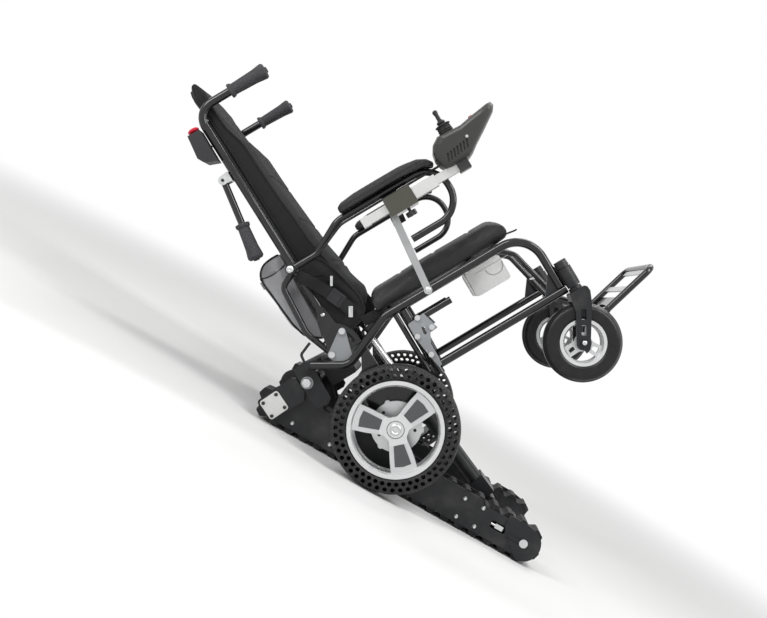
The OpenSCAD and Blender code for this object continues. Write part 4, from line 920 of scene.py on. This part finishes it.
def lap_belts():
    """Each strap hangs from the back, through its buckle, and ends in a tongue."""
    path = [(-26, 611), (-14, 596), (-2, 578), (8, 560), (17, 543), (25, 527), (32, 512),
            (38, 497), (43, 482), (48, 467)]
    for side, y in SIDES:
        spots = [chair(x, y * (214.8 + 1.2 * math.sin(i * 0.9)), z)
                 for i, (x, z) in enumerate(path)]
        across = []
        for i in range(len(path)):
            a, b = spots[max(0, i - 1)], spots[min(len(path) - 1, i + 1)]
            across.append((b - a).normalized().cross(SIDE).normalized())
        strap = ribbon("lap_strap_" + side, spots, 0.030, 0.0026, across)
        dress(strap, "belt_webbing")
        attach(strap, "backrest")
        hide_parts("lap_belt")
        buckle_at = turned(across[6], SIDE, across[6].cross(SIDE), spots[6])
        buckle = block("lap_buckle_" + side, (0.036, 0.0062, 0.040), 0.0022, 3)
        inset_faces(buckle, lambda n: abs(n.y) > 0.9, 0.005, -0.0012)
        finished(buckle, "lap_buckle_" + side, buckle_at, "black_plastic")
        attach(buckle, "backrest")
        tongue = block("lap_tongue_" + side, (0.011, 0.0024, 0.028), 0.0010)
        inset_faces(tongue, lambda n: abs(n.y) > 0.9, 0.003, -0.0006)
        settle(tongue, "lap_tongue_" + side,
               turned(SIDE.cross(PLUMB), SIDE, PLUMB, chair(46, y * 217, 463)))
        dress(tongue, "zinc")
        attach(tongue, "backrest")


# ---------------- small hardware

# outline of a dark plate along and across its spoke, in metres; the plate is painted shade for
# the spoke's window
SHADE_PLATE = [(0.0378, 0.0128), (0.0885, 0.0205), (0.0915, 0.0), (0.0885, -0.0205),
         (0.0378, -0.0128)]
SPOKES, SPOKE_TURN = 3, 11  # and the degrees to the first one
SHADE_PLATE_OUT = 0.0171  # from the wheel's middle plane
RING_RADIUS, RING_OUT, HUB_CAP_OUT = 21, 20, 22.1


def spoke_shade_plates():
    """Painted shade: dark plates in the windows of the driving wheels' spokes, and a dark ring
    for the shade in each hub's groove.
    """
    for side, y in SIDES:
        for k in range(SPOKES):
            # each plate is painted shade: a dark plate where the spoke's window is
            mesh = bpy.data.meshes.new("shade_plate")
            mesh.from_pydata([(x, z, 0) for x, z in SHADE_PLATE], [], [tuple(range(len(SHADE_PLATE)))])
            piece = linked("shade_plate", mesh)
            edit(piece)
            bpy.ops.mesh.inset(thickness=0.0016)
            bpy.ops.mesh.extrude_region_move(
                TRANSFORM_OT_translate={"value": (0, 0, 0.0012)})
            leave()
            apply(piece, "SOLIDIFY", thickness=0.002, offset=-1)
            outward(piece)
            spin = Matrix.Rotation(math.radians(SPOKE_TURN + 360 / SPOKES * k), 4, "Z")
            wheel = facing_out(y, chair(0, y * WHEEL_Y, AXLE_Z))
            settle(piece, "spoke_inlay_%s_%d" % (side, k + 1),
                   wheel @ spin @ Matrix.Translation((0, 0, SHADE_PLATE_OUT)))
            dress(piece, "spoke_shade_plate", "black_plastic")
            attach(piece, "rear_wheel_" + side)
        # painted shade: a dark cord standing for the shade in the hub's groove
        ring = [chair(RING_RADIUS * math.cos(a * math.tau / 48), y * (WHEEL_Y + RING_OUT),
                      AXLE_Z + RING_RADIUS * math.sin(a * math.tau / 48)) for a in range(48)]
        groove_shade = tube("hub_ring_" + side, ring, 0.0009, True)
        dress(groove_shade, "spoke_shade_plate", "black_plastic")
        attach(groove_shade, "rear_wheel_" + side)


def hub_caps():
    """Turned caps on the driving wheels' hubs."""
    for side, y in SIDES:
        cap = lathe("hub_cap", [(NEEDLE, 3.4), (4, 3.4), (5.2, 2.6), (7.5, 2.6), (8.8, 3.6),
                                (12.2, 3.6), (13.6, 2.4), (14, 0)], 40)
        finished(cap, "hub_cap_" + side,
                 facing_out(y, chair(0, y * (WHEEL_Y + HUB_CAP_OUT), AXLE_Z)), "zinc")
        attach(cap, "rear_wheel_" + side)


BOOT_Z = 715.2  # where the boot stands on the joystick's box
# radii and heights of its two halves
BOOT_FOOT = ((20.4, 0.0), (20.4, 1.0), (18.2, 2.6), (16.6, 4.4), (18.6, 6.6), (18.6, 7.4),
             (16.4, 9.4))
BOOT_TOP = ((16.4, 9.2), (18.2, 11.8), (18.2, 12.6), (15.2, 14.6), (17.6, 17.0), (17.6, 17.8),
            (14.4, 19.8), (18.8, 22.4), (19.6, 23.8), (19.0, 25.2), (12.0, 26.6), (8.6, 27.4))


def stick_boot():
    """Pleated rubber boot under the joystick. Its upper folds lean with the stick."""
    for name, profile, body in (("stick_boot", BOOT_FOOT, "controller"),
                                ("stick_bellows", BOOT_TOP, "stick")):
        boot = lathe(name, profile, 36)
        apply(boot, "SOLIDIFY", thickness=0.0008, offset=1)
        apply(boot, "SUBSURF", levels=1, render_levels=1)
        settle(boot, name, turned(CHAIR_X, SIDE, CHAIR_Z, chair(STICK_X, BOX_Y, BOOT_Z)))
        smooth(boot, 80)
        dress(boot, "track_rubber", "grip_rubber")
        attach(boot, body)


GUSSET = [(-6, 634), (26, 640), (50, 612), (66, 566), (78, 520), (84, 484), (80, 452),
          (58, 432), (28, 424), (0, 432), (-16, 462), (-20, 520), (-14, 580)]
GUSSET_Y, GUSSET_BELLY, GUSSET_FOLD = 201.0, 4.0, 6.5


def on_outline(outline, u, w):
    """A point of a square, -1 to 1, drawn onto an outline, and how far out it lies."""
    count = len(outline)
    middle = (sum(x for x, _ in outline) / count, sum(z for _, z in outline) / count)
    reach = max(abs(u), abs(w))
    turn = math.atan2(w, u) % math.tau if reach else 0.0
    k = turn / math.tau * count
    a, b = outline[int(k) % count], outline[(int(k) + 1) % count]
    f = k - int(k)
    rim = (a[0] + (b[0] - a[0]) * f, a[1] + (b[1] - a[1]) * f)
    return (middle[0] + (rim[0] - middle[0]) * reach,
            middle[1] + (rim[1] - middle[1]) * reach, reach)


def gussets():
    """Soft cloth sides that close the corner between the back and the seat."""
    for side, y in SIDES:
        def form(u, w):
            x, z, reach = on_outline(GUSSET, u * 2, w * 2)
            lean = x * 0.8 + z * 0.35
            fold = noise.noise(Vector((lean / 19, 3.1 * y, (z - x) / 120)))
            bulge = GUSSET_BELLY * (1 - reach ** 2) + fold * GUSSET_FOLD * (1 - reach ** 6)
            return chair(x, y * (GUSSET_Y + bulge), z)

        piece = cloth_panel(26, 34, form, 0.0022)
        apply(piece, "SUBSURF", levels=1, render_levels=1)
        settle(piece, "side_gusset_" + side)
        smooth(piece, 60)
        dress(piece, "back_cloth")
        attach(piece, "backrest")
        hem = [chair(x, y * (GUSSET_Y + 2.5), z) for x, z in GUSSET]
        cord = tube("gusset_hem_" + side, even(hem, STITCH, True), 0.0022, True)
        dress(cord, "piping", "back_cloth")
        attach(cord, "backrest")
        seam = [(10, 590), (24, 583), (38, 573), (52, 562), (62, 553)]
        welt("gusset_seam_" + side, piece, [(x, y * 215, z) for x, z in seam], 0.0013)
        pull = block("gusset_pull", (0.007, 0.0018, 0.026), 0.0008)
        inset_faces(pull, lambda n: abs(n.y) > 0.9, 0.0014, -0.0004)
        near = piece.closest_point_on_mesh(chair(38.5, y * 225, 552))[1]
        settle(pull, "gusset_pull_" + side,
               turned(SIDE.cross(PLUMB), SIDE, PLUMB, near + SIDE * (0.0022 * y)))
        dress(pull, "zinc")
        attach(pull, "backrest")


APRON_START, APRON_END, APRON_Y, APRON_Z = 58, 136, 205.0, 426


def seat_aprons():
    """Dark cloth under the seat's rear corners."""
    for side, y in SIDES:
        spots = [chair(x, y * (APRON_Y + 1.5 * math.sin(x / 9)),
                       APRON_Z - 0.05 * (x - APRON_START))
                 for x in range(APRON_START, APRON_END, 6)]
        cloth = ribbon("seat_apron_" + side, spots, 0.027, 0.0016, [CHAIR_Z] * len(spots))
        dress(cloth, "back_cloth")
        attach(cloth, "chair")


BOX_HALF = 43.6  # half the width of the joystick's box


def case_screws():
    """Screws of the joystick's box."""
    for side, s in (("outer", -1), ("inner", 1)):
        screw = lathe("screw", [(NEEDLE, 1.2), (1.6, 1.2), (1.8, 2.2), (3.6, 2), (4.2, 0.6),
                                (4.2, 0)], 24)
        finished(screw, "case_screw_" + side,
                 facing_out(s, chair(510, BOX_Y + s * BOX_HALF, 680)), "zinc")
        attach(screw, "controller")


POST_HEAD, POST_FOOT = (266, 243.6, 643), (241, 248.6, 410)  # outer ends of their bores


def post_bolts():
    """Domed bolts with washers through the heads and feet of the arm posts."""
    for side, s in SIDES:
        for label, (x, y, z) in (("head", POST_HEAD), ("foot", POST_FOOT)):
            bolt = lathe("bolt", [(NEEDLE, 6.6), (3.5, 6.2), (6.4, 4.8), (7.6, 2.4),
                                  (7.8, 1.2), (10.4, 1.2), (10.6, 0)], 32)
            finished(bolt, "post_%s_bolt_%s" % (label, side),
                     facing_out(s, chair(x, s * y, z)), "zinc")
            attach(bolt, "chair" if label == "foot" else "post_" + side)


OUTSIDE = 0.7  # sideways, clear of the whole object


def outer_skin(node, side, at):
    """The outer surface of a CAD piece, met straight in from one side."""
    piece = CAD[node]
    inside = piece.matrix_world.inverted()
    start = inside @ Vector((at.x, side * OUTSIDE, at.z))
    found, near, _, _ = piece.ray_cast(start, inside.to_3x3() @ (SIDE * -side))
    return piece.matrix_world @ near if found else at


def hex_bolt(name, node, side, at, across, body, sink):
    """A hexagon bolt head on its washer, let into the outer side of a CAD piece."""
    r = across / 1.732
    out = r * 1000
    washer = lathe("washer", [(NEEDLE, 1.2), (out * 1.12, 1.2), (out * 1.22, 0.9),
                              (out * 1.25, 0)], 36)
    bpy.ops.mesh.primitive_cylinder_add(vertices=6, radius=r, depth=across * 0.55,
                                        location=(0, 0, 0.001 + across * 0.275))
    head = bpy.context.object
    edit(head)
    bpy.ops.mesh.bevel(offset=across * 0.05, segments=2, affect="EDGES")
    leave()
    inset_faces(head, lambda n: n.z > 0.95, across * 0.09, across * 0.03)
    skin = outer_skin(node, side, at) - SIDE * (side * sink)
    for piece, label, finish in ((head, name, "zinc"), (washer, name + "_washer", "grey_plate")):
        finished(piece, label, facing_out(side, skin), finish, "zinc")
        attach(piece, body)


def turned_head(name, node, side, at, radius, body, finish="zinc"):
    """A low domed screw head, its radius in mm, on the outer side of a CAD piece."""
    head = lathe("head", [(NEEDLE, radius * 0.34)] + [
        (radius * r, radius * h) for r, h in ((0.3, 0.34), (0.36, 0.42), (0.72, 0.34),
                                              (0.94, 0.14), (1, 0))], 28)
    finished(head, name, facing_out(side, outer_skin(node, side, at)), finish, "zinc")
    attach(head, body)


MOTOR_SCREWS, MOTOR_SCREW_RADIUS = 5, 47
COVER_T, COVER_H = -206, 51  # middle of a gearcase cover on the track unit
COVER_SCREW = 19.5  # distance of its screws along its leaning sides
COVER_LEAN = math.atan2(91, 46)


def seated_bolts():
    """Bolts and screws on the outer skin of CAD pieces."""
    for side, s in SIDES:
        turned_head("caster_bolt_" + side, "caster_fork_" + side, s,
                    chair(CASTER_X, 0, CASTER_Z), 6.2, "caster_" + side)
        for k in range(MOTOR_SCREWS):
            turn = math.radians(30 + 360 / MOTOR_SCREWS * k)
            turned_head("motor_screw_%s_%d" % (side, k + 1), "drive_motors", s,
                        chair(MOTOR_SCREW_RADIUS * math.cos(turn), 0,
                              AXLE_Z + MOTOR_SCREW_RADIUS * math.sin(turn)),
                        4.2, "chair", "black_steel")
        hex_bolt("pivot_bolt_" + side, "frame_bolts", s, chair(HINGE_X, 0, HINGE_Z), 0.021,
                 "chair", 0.0066)
        turned_head("arm_pivot_" + side, "back_frame", s, chair(-25, 0, 627), 9.5, "backrest")
        turned_head("back_foot_screw_" + side, "back_frame", s, chair(-19, 0, 493), 5.5,
                    "backrest")
        c, w = COVER_SCREW * math.cos(COVER_LEAN), COVER_SCREW * math.sin(COVER_LEAN)
        for k, (dx, dz) in enumerate(((1, 1), (1, -1), (-1, -1), (-1, 1))):
            turned_head("cover_screw_%s_%d" % (side, k + 1), "track_fasteners", s,
                        track(COVER_T + dx * c - dz * w, 0, COVER_H + dx * w + dz * c),
                        4.6, "track_unit", "black_paint")


BATTERY_Y = 105.2  # outer sides of the battery cases


def battery_trims():
    """Lid seam and finger recess on each battery's outer side."""
    lid = [(370, 383), (395, 384), (420, 384), (446, 384), (471, 383)]
    grip = [(400, 378), (403, 366), (412, 357), (425, 354), (438, 357), (447, 366), (450, 378)]
    for side, s in SIDES:
        for label, path, r in (("lid", lid, 0.0009), ("grip", grip, 0.0014)):
            bead = tube("battery_%s_%s" % (label, side),
                        even([chair(x, s * BATTERY_Y, z) for x, z in path], 0.003), r)
            dress(bead, "pale_trim", "pale_case")
            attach(bead, "chair")


# ---------------- stage and assembly

FLOOR_DROP = 0.0004  # keeps the floor just under the lowest cleats
LAMP_AIM = (0.0, -0.2, 0.6)

SCENE.view_settings.view_transform = "Standard"
set_camera()
FINISHES = make_finishes()
finish_nodes()
bpy.ops.mesh.primitive_plane_add(size=24, location=(0, 0, -FLOOR_DROP))
FLOOR = bpy.context.object
FLOOR.name = "floor"
FLOOR.data.materials.append(floor_finish())
set_world(0.4)
add_lamp("key_lamp", (-1.75, -1.6, 1.75), LAMP_AIM, CHAIR_X, 2.0, 0.75, 46)
add_lamp("high_lamp", (1.15, -1.3, 2.45), LAMP_AIM, CHAIR_Z, 2.0, 0.7, 40)
add_lamp("top_lamp", (0.3, 0.9, 2.9), (0.1, 0, 0.4), (1, 0, 0), 1.9, 0.5, 24)

seat()
back()
back_flaps()
bag()
arm_pads()
lap_belts()
gussets()
seat_aprons()
case_screws()
spoke_shade_plates()
hub_caps()
stick_boot()
post_bolts()
seated_bolts()
battery_trims()
